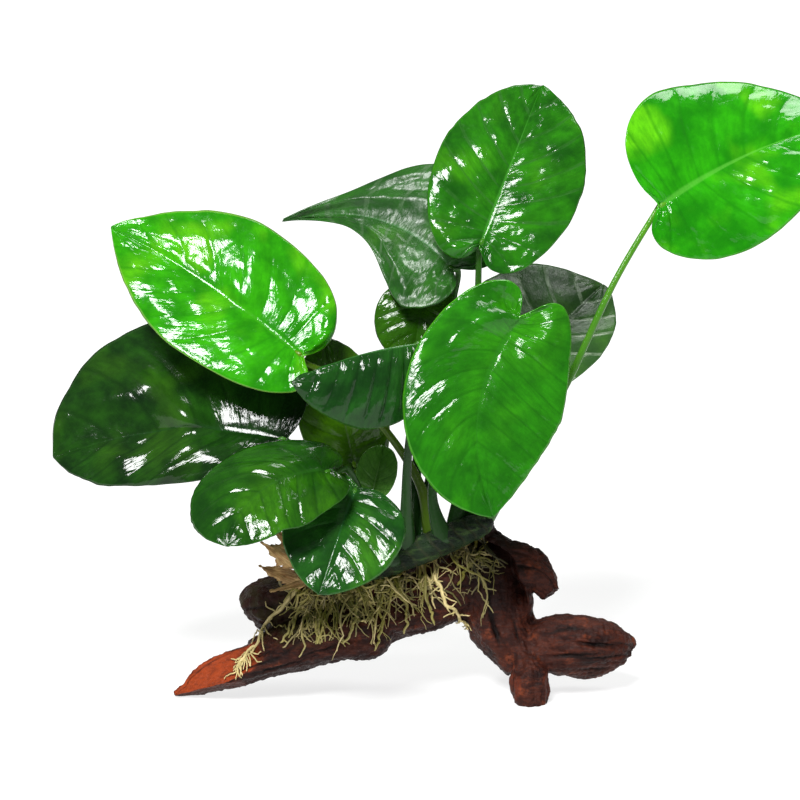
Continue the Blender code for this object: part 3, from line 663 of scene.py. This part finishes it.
# radius along the stem, less a slanting scar ring every few millimetres, plus slow lumps
def addRhizome():
    middles = np.array([s[0] for s in rhizome["stations"]], float)
    radii = np.array([s[1] for s in rhizome["stations"]], float)
    rings, sides = rhizome["rings"], rhizome["sides"]
    path = through(middles, rings)
    radius = through(np.stack([radii, radii, radii], -1), rings)[:, 0]
    walked = np.concatenate([[0], np.cumsum(np.linalg.norm(np.diff(path, axis=0), axis=1))])
    angle = np.linspace(0, 2 * np.pi, sides, endpoint=False)
    slant = walked[:, None] + 1.5 * np.sin(angle + 0.8)[None] + 0.6 * np.sin(3 * angle)[None]
    scar = np.exp(-(((slant / 5.5) % 1 - 0.5) / 0.10) ** 2)
    lump = 0.05 * np.sin(2 * angle[None] + slant / 7) + 0.03 * np.sin(5 * angle[None] - slant / 4)
    points, faces, uv = sweep(path, radius, sides, lambda a, s: 1 - 0.09 * scar + lump)
    piece = addMesh("rhizomeStem", points, faces, uv, {"scar": np.append(scar.ravel(), (0, 0))},
                    rhizomeMaterial())
    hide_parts("rhizome")


addRhizome()
print("rhizome made")


# ---- driftwood

wood = {
    "voxel": 0.64,
    "limbs": {
        "heart": (((-17, 2, 37), 13.0, 13.0), ((-12, 2, 38), 17.0, 17.5), ((-2, 2, 39), 17.0, 16.5),
                  ((9, 2, 40), 16.0, 15.0), ((19, 3, 44.5), 15.0, 15.5), ((28, 4, 46.5), 13.5, 17.0),
                  ((36, 4, 47), 11.0, 17.5), ((40, 4, 47), 7.0, 13.0)),
        "leftProng": (((-99.5, -13, 1.2), 3.0, 2.0), ((-92, -12, 2.6), 5.4, 4.5), ((-86, -12, 8), 8.0, 7.5),
                      ((-75, -11, 12), 11.0, 8.7), ((-61, -10, 17.5), 13.0, 9.5), ((-44, -9, 23.5), 15.0, 11.5),
                      ((-26, -8, 28.5), 16.0, 12.0), ((-14, -6, 31), 15.0, 13.0), ((-6, -4, 34), 10.0, 9.0)),
        "leftStub": (((-68, 8, 34), 5.0, 4.5), ((-66, 8, 35), 9.0, 8.5), ((-61, 8, 36), 12.5, 11.0),
                     ((-50, 8, 38), 16.0, 13.5), ((-31, 8, 40), 17.0, 14.0), ((-16, 8, 41), 16.0, 14.0),
                     ((-8, 8, 41), 11.0, 9.0)),
        "rightTrunk": (((39, 8, 70), 5.0, 4.0), ((41, 7, 65.5), 9.0, 8.0), ((44, 5, 58), 12.0, 13.0),
                       ((43, 3, 50), 13.0, 15.0), ((43, 1, 40), 14.0, 15.0), ((45, -1, 30), 13.0, 14.5),
                       ((51, -4, 21), 12.0, 12.5), ((56, -8, 14), 10.0, 10.0)),
        "curledLip": (((44, 4, 58), 9.0, 8.5), ((51, 2, 57.5), 10.0, 10.0), ((58, 0, 54.5), 9.0, 9.5),
                      ((64, -3, 50), 7.0, 7.0), ((67, -5, 45), 4.0, 4.5)),
        "rightBurl": (((55, -5, 21), 9.0, 8.0), ((62, -5, 21.5), 12.0, 11.5), ((72, -4, 21), 14.0, 13.5),
                      ((84, -3, 20.5), 14.0, 13.5), ((95, -2, 19.5), 11.0, 10.5), ((101, -1, 18.5), 6.5, 6.5),
                      ((104, -1, 17.5), 3.0, 3.0)),
        "frontFoot": (((56, -12, 17), 7.0, 8.0), ((57, -17, 11), 8.0, 8.5), ((57, -20, 5), 7.0, 8.5),
                      ((58, -21, -1.8), 5.5, 6.5)),
        "backFoot": (((50, 8, 27), 9.0, 9.0), ((56, 20, 17), 8.0, 8.0), ((61, 30, 8), 7.0, 7.0),
                     ((63, 33, -3.2), 5.5, 6.0)),
        "knob": (((36, 7, 62), 4.0, 4.0), ((38.5, 7, 69), 6.5, 6.0), ((40, 7, 73.5), 5.0, 4.0)),
        "bridge": (((22, 10, 54), 8.0, 7.0), ((29, 10, 60), 8.0, 7.0), ((36, 9, 66), 7.0, 6.0)),
        "nub": (((-12, -3, 28), 6.0, 6.0), ((-12, -5, 22), 4.5, 4.5), ((-12, -5, 18), 2.5, 2.5)),
    },
    # broken faces show lighter orange fresh wood; on the front foot's faces this orange stands for painted glints
    "cuts": (  # a place on a broken face, which way it looks, how far from the place it goes, and its freshness
        ((-84, -13.2, 11.0), (-0.475, -0.52, 0.71), 26, 1.0), ((-84, -18, 6.0), (0.1, -0.55, -0.83), 20, 0.25),
        ((-65, 0, 44), (-0.78, -0.25, 0.58), 22, 0.0), ((-69, 0, 34), (-0.95, -0.3, -0.1), 16, 0.0),
        ((58, -27.5, 9), (0.25, -0.95, 0.1), 9, 0.5), ((50, -22, 9), (-0.8, -0.55, 0.2), 8, 0.3),
        ((64, -22, 9), (0.85, -0.5, 0.1), 8, 0.2), ((104, -8, 17), (0.8, -0.5, -0.3), 10, 0.2),
    ),
    "fissures": (  # from and to, across and up on the front, then width and depth
        ((70, 27.5), (103, 22.5), 1.1, 2.4), ((60, 19.5), (90, 21.5), 0.9, 1.6), ((62, 29), (84, 31.5), 0.9, 1.3),
        ((74, 14), (97, 12.5), 1.0, 1.5), ((-80, 14), (-50, 22), 0.7, 0.9), ((-70, 13), (-30, 24), 0.7, 1.0),
        ((-50, 20), (-18, 29), 0.8, 1.2), ((48, 40), (54, 22), 0.9, 1.3), ((38, 45), (44, 20), 0.8, 1.1),
    ),
    "hollow": (  # heights, and how far across the edge of the hollow under the lip lies at each
        (36, 44, 53, 60, 64, 66.5, 69), (58, 56.5, 52.5, 51, 48, 43, 34),
    ),
    "hollowDepth": 8.5, "hollowWidth": 9.0,
}
woodNodes = ("wood_heart", "wood_left_prong", "wood_left_stub", "wood_right_trunk", "wood_curled_lip",
             "wood_right_burl", "wood_front_foot", "wood_back_foot")


def woodMaterial():
    material, tree, shader = newMaterial("driftwoodSurface")
    place = objectPlace(tree)
    relief, fresh = pointValue(tree, "relief"), pointValue(tree, "fresh")
    moss, dark = pointValue(tree, "moss"), pointValue(tree, "dark")
    spots = useGroup(tree, mottle, Place=place, Blotch=90.0, Grain=800.0)
    stretched = wire(tree, "ShaderNodeMapping", i0=place, Scale=(110.0, 480.0, 480.0)).outputs[0]
    fibre = wire(tree, "ShaderNodeTexNoise", Vector=stretched, Scale=1.0, Detail=6.0, Roughness=0.7).outputs[0]
    glints = wire(tree, "ShaderNodeTexNoise", Vector=place, Scale=150.0, Detail=5.0, Roughness=0.7).outputs[0]
    colour = blendColours(tree, spots.outputs["Blotches"], (0.012, 0.0035, 0.0030), (0.048, 0.0115, 0.0065))
    colour = blendColours(tree, ramp(tree, fibre, 0.42, 0.72), colour, (0.085, 0.019, 0.009))
    colour = blendColours(tree, ramp(tree, glints, 0.56, 0.74, (0.0, 0.6)), colour, (0.24, 0.050, 0.015))
    # fresh broken wood is orange; on the front foot's faces it is a painted glint
    freshShare = maths(tree, "MULTIPLY", fresh, ramp(tree, fibre, 0.3, 0.6, (0.45, 1.0)))
    colour = blendColours(tree, freshShare, colour, (0.30, 0.045, 0.010))
    colour = blendColours(tree, maths(tree, "MULTIPLY", moss, ramp(tree, glints, 0.40, 0.60)), colour,
                          (0.060, 0.048, 0.012))
    # painted shade: the dark share blends towards near-black
    colour = blendColours(tree, scaled(tree, dark, 0.8), colour, (0.010, 0.0035, 0.003))
    # painted shade: near-black in the grain's grooves, the hollow under the lip and the cracks
    colour = blendColours(tree, ramp(tree, relief, 0.25, 0.9, (0.0, 0.92)), colour, (0.004, 0.0018, 0.0015))
    tree.links.new(colour, shader.inputs["Base Color"])
    tree.links.new(ramp(tree, spots.outputs["Grains"], 0.0, 1.0, (0.34, 0.62)), shader.inputs["Roughness"])
    shader.inputs["Specular IOR Level"].default_value = 0.15
    relievedBy(tree, shader, maths(tree, "ADD", fibre, glints), 0.0009, 0.9)
    return material


# each limb is an ellipse swept along its stations with a slow waviness, and a voxel grid joins them
def joinedLimbs():
    points, faces, first = [], [], 0
    for i, stations in enumerate(wood["limbs"].values()):
        middles = np.array([s[0] for s in stations], float)
        radii = np.array([s[1:] for s in stations], float)
        path = through(middles, 40)
        widths = through(np.column_stack([radii, radii[:, 0]]), 40)[:, :2]
        seed = 1.7 * i

        def burr(angle, along):
            return 1 + 0.09 * (0.6 * np.sin(3 * angle + 7 * along + seed) + 0.4 * np.sin(5 * angle - 11 * along + 2 * seed))

        ringPoints, ringFaces, _ = sweep(path, widths, 40, burr)
        points.append(ringPoints)
        faces += [f + first for f in ringFaces]
        first += len(ringPoints)
    return np.vstack(points), faces


# every vertex's nearest place on a limb's middle line: how far off, how far along, and turned how far
def limbPlace(points, stations):
    middles = np.array([s[0] for s in stations], float)
    radii = np.array([s[1:] for s in stations], float).mean(1)
    path = through(middles, 40)
    radius = np.interp(np.linspace(0, 1, 40), np.linspace(0, 1, len(radii)), radii)
    walked = np.concatenate([[0], np.cumsum(np.linalg.norm(np.diff(path, axis=0), axis=1))])
    gap = np.linalg.norm(points[:, None] - path[None], axis=-1)
    near = gap.argmin(1)
    tangent = unit(np.gradient(path, axis=0))[near]
    off = points - path[near]
    high = unit(np.cross(tangent, (0, 1, 0)))
    deep = np.cross(high, tangent)
    angle = np.arctan2((off * high).sum(-1), (off * deep).sum(-1))
    return gap.min(1) / radius[near], walked[near] + (off * tangent).sum(-1), angle


# narrow grooves that run along the limb: steep dips where a sine of the angle crosses nought
def grainRelief(angle, along, seed):
    rng = np.random.default_rng(seed)
    total = np.zeros_like(angle)
    for count, depth in ((4, 1.0), (7, 0.7), (11, 0.5), (19, 0.3), (31, 0.15)):
        drift = 0.9 * np.sin(along / 31 + rng.uniform(0, 6)) + 0.5 * np.sin(along / 11 + rng.uniform(0, 6))
        patch = 0.5 + 0.5 * np.sin(along / 17 + 2 * angle + rng.uniform(0, 6))
        total -= depth * patch * (1 - np.abs(np.sin(count * angle / 2 + drift))) ** 4
    return total


# the joined limbs' vertices, normals and faces, read back from the voxel grid
def woodGrid():
    points, faces = joinedLimbs()
    draft = addMesh("woodDraft", points, faces)
    remesh = draft.modifiers.new("joined", "REMESH")
    remesh.mode = "VOXEL"
    remesh.voxel_size = wood["voxel"] * 0.001
    shape = draft.evaluated_get(bpy.context.evaluated_depsgraph_get()).to_mesh()
    count = len(shape.vertices)
    co, normal = np.empty(count * 3), np.empty(count * 3)
    shape.vertices.foreach_get("co", co)
    shape.vertices.foreach_get("normal", normal)
    corners = np.empty(len(shape.loops), int)
    shape.loops.foreach_get("vertex_index", corners)
    sizes = np.empty(len(shape.polygons), int)
    shape.polygons.foreach_get("loop_total", sizes)
    starts = np.cumsum(sizes) - sizes
    quads = [corners[starts[sizes == n][:, None] + np.arange(n)] for n in (3, 4) if (sizes == n).any()]
    bpy.data.objects.remove(draft)
    return co.reshape(-1, 3) * 1000 + layoutMiddle, normal.reshape(-1, 3), quads


# grooves along the limbs and lumps move the surface along its normal; broken faces press it onto
# planes, p - max(0, (p - p0).n) n near p0, a hollow steep on its right sinks under the lip by
# depth * step(d) * exp(-(d / width)^2), d left of its edge, and cracks are bells about lines
def addWood():
    co, normal, quads = woodGrid()
    grain, weight = np.zeros(len(co)), np.full(len(co), 1e-6)
    for i, stations in enumerate(wood["limbs"].values()):
        away, along, angle = limbPlace(co, stations)
        share = np.exp(-6 * np.clip(away - 0.7, 0, None) ** 2)
        grain += share * grainRelief(angle, along, 30 + i)
        weight += share
    grain /= weight
    lumps = 1.3 * waves(co, 34, 2, 0.5, 1) + 0.6 * waves(co, 9, 3, 0.6, 2) + 0.25 * waves(co, 2.6, 2, 0.6, 3)
    moved = co + normal * (1.1 * grain + lumps)[:, None]
    fresh = np.zeros(len(co))
    for place, way, far, bare in wood["cuts"]:
        way = unit(np.array(way, float))
        gap = (moved - np.array(place, float)) @ way + 0.35 * waves(co, 6, 2, 0.6, 8)
        near = 1 - smooth(0.8, 1.1, np.linalg.norm(moved - np.array(place, float), axis=-1) / far)
        moved -= (np.clip(gap, 0, None) * near)[:, None] * way
        fresh = np.maximum(fresh, smooth(-0.7, 0.5, gap) * near * bare)
    ahead = smooth(0.2, -0.2, normal[:, 1])
    within = np.interp(co[:, 2], *wood["hollow"]) - co[:, 0] + 0.5 * waves(co, 9, 2, 0.6, 7)
    sunk = smooth(0, 2.0, within) * np.exp(-((within / wood["hollowWidth"]) ** 2))
    sunk = sunk * smooth(37, 46, co[:, 2]) * (1 - smooth(66, 70, co[:, 2])) * ahead
    moved[:, 1] += wood["hollowDepth"] * sunk
    cracked = np.zeros(len(co))
    flat = co[:, [0, 2]] + 0.5 * np.stack([waves(co, 14, 3, 0.6, 5), waves(co, 14, 3, 0.6, 6)], -1)
    for start, end, width, depth in wood["fissures"]:
        start, step = np.array(start, float), np.subtract(end, start)
        t = np.clip((flat - start) @ step / (step @ step), 0, 1)
        gap = np.linalg.norm(flat - start - t[:, None] * step, axis=-1)
        crack = np.exp(-((gap / width) ** 2)) * ahead * (co[:, 1] < 6) * np.sin(np.pi * np.clip(t, 0.04, 0.96))
        moved[:, 1] += depth * crack
        cracked = np.maximum(cracked, crack)
    moved[:, 2] = np.maximum(moved[:, 2], 0)
    moss = (1 - smooth(-46, -25, co[:, 0])) * smooth(24, 34, co[:, 2])
    # painted shade in the grooves, the hollow and the cracks
    relief = np.clip(-grain / 1.3, 0, 1) + 0.35 * sunk + 0.8 * cracked
    # painted shade where the surface faces down and on the trunk's face under the rhizome; the left stub is also made
    # darker, and broken faces stay light
    dark = smooth(0.2, 0.9, -normal[:, 2]) * (1 - smooth(55, 75, co[:, 0]))
    dark = np.maximum(dark, smooth(18, 34, co[:, 0]) * smooth(30, 48, co[:, 2]) * (1 - smooth(44, 56, co[:, 0])))
    dark = np.maximum(dark, 0.8 * (1 - smooth(-40, -20, co[:, 0])) * smooth(26, 36, co[:, 2]))
    dark = dark * (1 - 0.9 * np.clip(fresh, 0, 1))
    piece = addMesh("driftwood", moved, quads, None, {"relief": relief, "fresh": fresh, "moss": moss, "dark": dark},
                    woodMaterial())
    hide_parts(*woodNodes)
    return moved


woodPoints = addWood()
print("driftwood made")


# ---- roots

rootShape = {"cell": 1.0, "mainRings": 60, "mainSides": 10, "fine": 190, "twigs": 430, "seed": 5}
mainRoots = {  # CAD node: radius, then places across and up
    "root_left_long": (1.0, ((-34, 54), (-42, 50), (-52, 40), (-60, 30), (-66, 22), (-73, 15))),
    "root_left_branch": (0.8, ((-28, 55), (-38, 45), (-46, 36), (-52, 28))),
    "root_left_inner": (0.8, ((-21, 55), (-27, 46), (-33, 36), (-36, 28))),
    "root_middle_left": (0.8, ((-14, 57), (-18, 46), (-20, 36), (-25, 27))),
    "root_middle": (0.8, ((-6, 59), (-9, 46), (-8, 34), (-11, 24))),
    "root_middle_right": (0.8, ((1, 62), (-1, 50), (3, 40), (2, 30))),
    "root_right_inner": (0.8, ((8, 64), (9, 52), (13, 42), (15, 34))),
    "root_right_pale": (0.9, ((15, 67), (16, 54), (20, 44), (26, 36), (30, 28))),
    "root_right_long": (0.9, ((34, 75), (33, 66), (29, 57), (26, 51))),
}


def rootMaterial():
    material, tree, shader = newMaterial("rootSkin")
    place = objectPlace(tree)
    tone, tan = pointValue(tree, "tone"), pointValue(tree, "tan")
    spots = useGroup(tree, mottle, Place=place, Blotch=220.0, Grain=1200.0)
    colour = blendColours(tree, tone, (0.27, 0.25, 0.012), (0.84, 0.68, 0.32))
    colour = blendColours(tree, scaled(tree, spots.outputs["Blotches"], 0.4), colour, (0.14, 0.14, 0.010))
    # a random darker tone, with painted shade near where the fine roots start and on the right
    colour = blendColours(tree, tan, colour, (0.030, 0.028, 0.006))
    tree.links.new(colour, shader.inputs["Base Color"])
    tree.links.new(ramp(tree, spots.outputs["Grains"], 0.0, 1.0, (0.35, 0.6)), shader.inputs["Roughness"])
    relievedBy(tree, shader, spots.outputs["Grains"], 0.0002, 0.5)
    return material


# the wood's nearest depth over a grid of places across and up; empty cells take their neighbours' depth
def frontMap(points):
    low = np.array([-110.0, -10.0])
    cells = ((points[:, [0, 2]] - low) / rootShape["cell"]).astype(int)
    depth = np.full((230, 120), 99.0)
    np.minimum.at(depth, (cells[:, 0], cells[:, 1]), points[:, 1])
    inside = depth < 90
    for _ in range(25):
        padded = np.pad(depth, 1, constant_values=99.0)
        near = np.stack([padded[1:-1, 2:], padded[1:-1, :-2], padded[2:, 1:-1], padded[:-2, 1:-1]])
        known = near < 90
        mean = np.where(known, near, 0).sum(0) / np.maximum(known.sum(0), 1)
        depth = np.where((depth > 90) & known.any(0), mean, depth)
    for _ in range(2):
        padded = np.pad(depth, 1, mode="edge")
        depth = (padded[1:-1, 2:] + padded[1:-1, :-2] + padded[2:, 1:-1] + padded[:-2, 1:-1] + 2 * depth) / 6

    def look(grid, places):
        at = np.clip(((places - low) / rootShape["cell"]).astype(int), 0, (229, 119))
        return grid[at[..., 0], at[..., 1]]

    return lambda places: look(depth, places), lambda places: look(inside, places)


# closed tubes round many paths at once: a ring square to every place of every path
def bundle(name, paths, radii, sides, values, material):
    tangent = unit(np.gradient(paths, axis=1))
    high = unit(np.cross(tangent, (0.05, 1, 0.03)))
    deep = np.cross(high, tangent)
    angle = np.linspace(0, 2 * np.pi, sides, endpoint=False)[:, None]
    ring = np.cos(angle) * deep[:, :, None] + np.sin(angle) * high[:, :, None]
    rings = paths[:, :, None] + radii[:, :, None, None] * ring
    many, steps = radii.shape
    points = np.concatenate([rings.reshape(many, -1, 3), paths[:, :1], paths[:, -1:]], axis=1)
    first = (np.arange(many) * points.shape[1])[:, None, None]
    faces = [(first + f[None]).reshape(-1, f.shape[1]) for f in tubeFaces(steps, sides)]
    spread = {key: np.concatenate([np.repeat(v, sides, axis=1), v[:, :1], v[:, -1:]], axis=1).ravel()
              for key, v in values.items()}
    return addMesh(name, points.reshape(-1, 3), faces, None, spread, material)


# a walk across and up whose heading, measured from straight down, drifts and now and then kinks
def walks(rng, starts, heading, length, steps, wander, front, inside):
    turns = rng.normal(0, wander, (len(starts), steps))
    turns += rng.normal(0, 0.9, turns.shape) * (rng.random(turns.shape) < 0.10)
    headings = heading[:, None] + np.cumsum(turns, axis=1) - 0.5 * np.cumsum(turns, axis=1) * np.linspace(0, 1, steps)
    step = length[:, None] / steps
    for _ in range(2):
        flat = np.stack([np.cumsum(np.sin(headings) * step, 1), -np.cumsum(np.cos(headings) * step, 1)], -1)
        flat = starts[:, None] + np.concatenate([np.zeros((len(starts), 1, 2)), flat[:, :-1]], 1)
        kept = np.cumprod(inside(flat) | (np.arange(steps) < 3), axis=1).mean(1)
        step = step * np.clip(kept + 0.08, 0.2, 1)[:, None]
    return np.concatenate([flat[..., :1], front(flat)[..., None], flat[..., 1:]], -1)


def addRoots():
    front, inside = frontMap(woodPoints)
    skin = rootMaterial()
    rng = np.random.default_rng(rootShape["seed"])
    rings = rootShape["mainRings"]
    share = np.linspace(0, 1, rings)
    paths, radii = [], []
    for i, (radius, places) in enumerate(mainRoots.values()):
        flat = through(places, rings)
        flat = flat + 0.9 * smooth(0, 0.2, share)[:, None] * np.stack(
            [waves(share[:, None] * 40, 11, 2, 0.6, i), waves(share[:, None] * 40, 13, 2, 0.6, 40 + i)], -1)
        thick = radius * (1 - 0.35 * share) * (1 + 0.10 * waves(share[:, None] * 40, 5, 2, 0.6, 80 + i))
        depth = front(flat) - 0.7 * thick - 0.4
        depth = depth + (np.minimum(-9, depth) - depth) * (1 - smooth(0.0, 0.15, share))
        paths.append(np.stack([flat[:, 0], depth, flat[:, 1]], -1))
        radii.append(thick * np.where(share > 0.97, 0.6, 1.0))
    paths, radii = np.array(paths), np.array(radii)
    mainTone = np.array([0.95, 0.5, 0.3, 0.4, 0.2, 0.35, 0.3, 1.0, 0.05])[:, None] + 0 * radii
    mainShadeAndDarkTone = np.where(np.arange(9)[:, None] == 8, 0.35, 0.08) + 0 * radii
    piece = bundle("mainRoots", paths, radii, rootShape["mainSides"], {"tone": mainTone, "tan": mainShadeAndDarkTone}, skin)
    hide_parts(*mainRoots)

    count, steps = rootShape["fine"], 18
    across = np.concatenate([rng.uniform(-40, 36, count * 3 // 5), rng.normal(-20, 16, count - count * 3 // 5)])
    across = np.clip(across, -44, 36)
    up = np.interp(across, (-44, -38, -24, -9, 13, 26, 36), (50, 52, 54, 58, 66, 71, 75)) - rng.uniform(1, 6, count)
    up = np.where(rng.random(count) < 0.35, up - rng.uniform(0, 12, count), up)
    heading = rng.normal(0, 0.85, count) - 0.45 * (across < -20) + 0.35 * (across > 5)
    length = 6 + 24 * rng.beta(1.3, 1.6, count)
    fine = walks(rng, np.stack([across, up], -1), heading, length, steps, 0.20, front, inside)
    along = np.linspace(0, 1, steps)[None]
    lift = rng.gamma(1.6, 0.8, count)[:, None] * (0.4 + np.sin(np.pi * np.clip(along * 1.1, 0, 1)))
    thick = rng.uniform(0.32, 0.80, count)[:, None] * (1 - 0.55 * along) * (1 + 0.12 * rng.normal(size=(count, steps)))
    fine[..., 1] += -0.6 * thick - np.minimum(lift, 4.0) + 0.25 * rng.normal(size=(count, steps))
    tone = np.clip(rng.beta(0.8, 1.4, count)[:, None] + 0.25 * along, 0, 1)
    # painted shade: darker near each fine root's start and on the right side, over a random darker tone
    tan = np.clip(1.2 * rng.beta(0.9, 2.2, count)[:, None] * (1 - 0.4 * along) + 0.3 * (across[:, None] > 14), 0, 1)
    twigs, twigSteps = rootShape["twigs"], 8
    parent, at = rng.integers(0, count, twigs), rng.integers(3, steps - 1, twigs)
    starts = fine[parent, at]
    mains = np.repeat((0, 1, 7), (34, 14, 20))
    alongMain = rng.integers(12, rings - 1, len(mains))
    alongMain[20:34] = rng.integers(rings - 12, rings - 1, 14)
    starts = np.concatenate([starts, paths[mains, alongMain]])
    twigs = len(starts)
    heading = rng.normal(0, 1.0, twigs) + 0.3 * np.sign(rng.normal(size=twigs))
    small = walks(rng, starts[:, [0, 2]], heading, rng.uniform(2.5, 9, twigs), twigSteps, 0.25, front, inside)
    reach = np.linspace(0, 1, twigSteps)[None]
    small[..., 1] = starts[:, 1:2] + (small[..., 1] - small[:, :1, 1]) - 0.8 * reach * rng.random((twigs, 1))
    smallThick = np.append(thick[parent, at] * 0.75, np.full(len(mains), 0.42))[:, None] * (1 - 0.45 * reach)
    smallTone = np.clip(np.append(tone[parent, at], mainTone[mains, 0] * 0.8)[:, None] + 0.25 * reach, 0, 1)
    smallShadeAndDarkTone = np.append(tan[parent, at], np.full(len(mains), 0.1))[:, None] + 0 * reach
    bundle("fineRoots", fine, thick, 6, {"tone": tone, "tan": tan}, skin)
    bundle("rootTwigs", small, smallThick, 5, {"tone": smallTone, "tan": smallShadeAndDarkTone}, skin)


addRoots()
print("roots made")


# ---- dry sheaths at the old end of the rhizome

sheaths = {
    "sheathUpper": dict(node="dry_sheath_upper", base=(-43, -11, 61), tip=(-61, -14, 71), halves=(6, 5),
                        face=(0, -0.8, 0.5), arch=1, fold=(-25, -25), notch=(0, 0), shoulder=(0.7, 0.2),
                        widest=(0.3, 0.3), wave=(2, 0.6, 0.0)),
    "sheathLower": dict(node="dry_sheath_lower", base=(-42, -8, 52), tip=(-62, -12, 60), halves=(4.5, 4),
                        face=(0, -0.8, 0.3), arch=-2, fold=(-25, -25), notch=(0, 0), shoulder=(0.7, 0.2),
                        widest=(0.3, 0.3), wave=(2, 0.6, 0.3)),
    "sheathBack": dict(node=None, base=(-40, -6, 63), tip=(-57, -9, 76), halves=(5, 4), face=(0, -0.8, 0.5),
                       arch=1, fold=(10, 10), notch=(0, 0), shoulder=(0.7, 0.2), widest=(0.3, 0.3),
                       wave=(2, 0.6, 0.5)),
    "sheathStrand": dict(node=None, base=(-38, -13, 54), tip=(-57, -15, 49), halves=(1.6, 1.4),
                         face=(0, -0.9, 0.2), arch=2, fold=(10, 10), notch=(0, 0), shoulder=(0.8, 0.3),
                         widest=(0.3, 0.3), wave=(2, 0.4, 0.1)),
}


def sheathMaterial():
    material, tree, shader = newMaterial("papery")
    along = wire(tree, "ShaderNodeUVMap", {"uv_map": "along"}).outputs[0]
    place = wire(tree, "ShaderNodeMapping", i0=along, Scale=(1.5, 22.0, 1.0)).outputs[0]
    fibre = wire(tree, "ShaderNodeTexNoise", Vector=place, Scale=1.5, Detail=4.0, Roughness=0.65).outputs[0]
    spots = useGroup(tree, mottle, Place=objectPlace(tree), Blotch=150.0, Grain=900.0)
    colour = blendColours(tree, ramp(tree, fibre, 0.35, 0.65), (0.42, 0.21, 0.055), (0.80, 0.58, 0.26))
    colour = blendColours(tree, scaled(tree, spots.outputs["Blotches"], 0.55), colour, (0.16, 0.055, 0.018))
    tree.links.new(colour, shader.inputs["Base Color"])
    shader.inputs["Roughness"].default_value = 0.6
    relievedBy(tree, shader, fibre, 0.0006)
    return material


# a narrow blade with ribs along it, torn along the margin by uneven sines
def addSheath(name, sheath, material, seed):
    rows, half = 70, 14
    share, across = np.meshgrid(np.linspace(0, 1, rows + 2)[1:-1], np.linspace(-1, 1, 2 * half + 1), indexing="ij")
    reach = np.abs(across)
    torn = waves(np.stack([share * 60, 5 * np.sign(across)], -1), 9, 3, 0.7, seed)
    ragged = reach * (1 + 0.22 * torn * reach**2 * smooth(0, 0.2, share))
    left, _ = halfBlade(sheath, share, ragged, -1)
    right, _ = halfBlade(sheath, share, ragged, 1)
    middle = np.where((across < 0)[..., None], left, right)
    normal = gridNormals(middle)
    ribs = 0.12 * np.sin(across * 26 + 4 * share) + 0.9 * waves(np.stack([share * 20, across * 6], -1), 9, 2, 0.6, seed)
    body = 0.22 * np.sqrt(np.clip(1 - reach**8, 0, 1))
    upper = middle + normal * (ribs * smooth(0, 0.2, share) + body)[..., None]
    lower = middle + normal * (ribs * smooth(0, 0.2, share) - body)[..., None]
    ring = np.concatenate([upper, lower[:, -2:0:-1]], axis=1)
    flat = np.stack([share, 0.5 + 0.5 * across], -1)
    uv = np.concatenate([flat, flat[:, -2:0:-1]], axis=1)
    points = np.vstack([ring.reshape(-1, 3), sheath["base"], sheath["tip"]])
    uv = np.vstack([uv.reshape(-1, 2), (0, 0.5), (1, 0.5)])
    piece = addMesh(name, points, tubeFaces(rows, ring.shape[1]), uv, None, material)
    if sheath["node"]:
        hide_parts(sheath["node"])


papery = sheathMaterial()
for i, (name, sheath) in enumerate(sheaths.items()):
    addSheath(name, sheath, papery, 60 + i)
print("sheaths made")


# ---- stage

stage = {"target": (0, 0, 131.3), "distance": 1200, "elevation": 12.0, "lens": 124.0}


def addStage():
    target = toScene(stage["target"])
    tilt = np.radians(stage["elevation"])
    camera = bpy.data.objects.new("camera", bpy.data.cameras.new("camera"))
    camera.data.lens = stage["lens"]
    camera.data.sensor_width = 36
    camera.data.clip_end = 100
    camera.location = target + stage["distance"] * 0.001 * np.array([0, -np.cos(tilt), np.sin(tilt)])
    camera.rotation_euler = (np.pi / 2 - tilt, 0, 0)
    scene.collection.objects.link(camera)
    scene.camera = camera
    side = 8.0
    floor = bpy.data.meshes.new("floor")
    floor.from_pydata([(-side, -side, 0), (side, -side, 0), (side, side, 0), (-side, side, 0)], [], [(0, 1, 2, 3)])
    finish, _, shader = newMaterial("paleFloor")
    shader.inputs["Base Color"].default_value = (0.30, 0.30, 0.30, 1)
    shader.inputs["Roughness"].default_value = 0.9
    shader.inputs["Specular IOR Level"].default_value = 0.0
    shader.inputs["Emission Color"].default_value = (1, 1, 1, 1)
    shader.inputs["Emission Strength"].default_value = 0.78
    floor.materials.append(finish)
    floor = bpy.data.objects.new("floor", floor)
    scene.collection.objects.link(floor)


def addSun(name, power, spread, azimuth, elevation):  # azimuth from the camera's side, to the right
    lamp = bpy.data.lights.new(name, "SUN")
    lamp.energy = power
    lamp.angle = np.radians(spread)
    sun = bpy.data.objects.new(name, lamp)
    sun.rotation_euler = (np.radians(90 - elevation), 0, np.radians(azimuth))
    scene.collection.objects.link(sun)


addStage()
addSun("keyLight", 4.2, 19, -22, 52)
addSun("topLight", 1.2, 24, 150, 62)
world = bpy.data.worlds.new("room") if scene.world is None else scene.world
scene.world = world
world.use_nodes = True
world.node_tree.nodes["Background"].inputs[0].default_value = (1, 1, 1, 1)
world.node_tree.nodes["Background"].inputs[1].default_value = 0.16
scene.view_settings.view_transform = "Standard"
print("stage made")

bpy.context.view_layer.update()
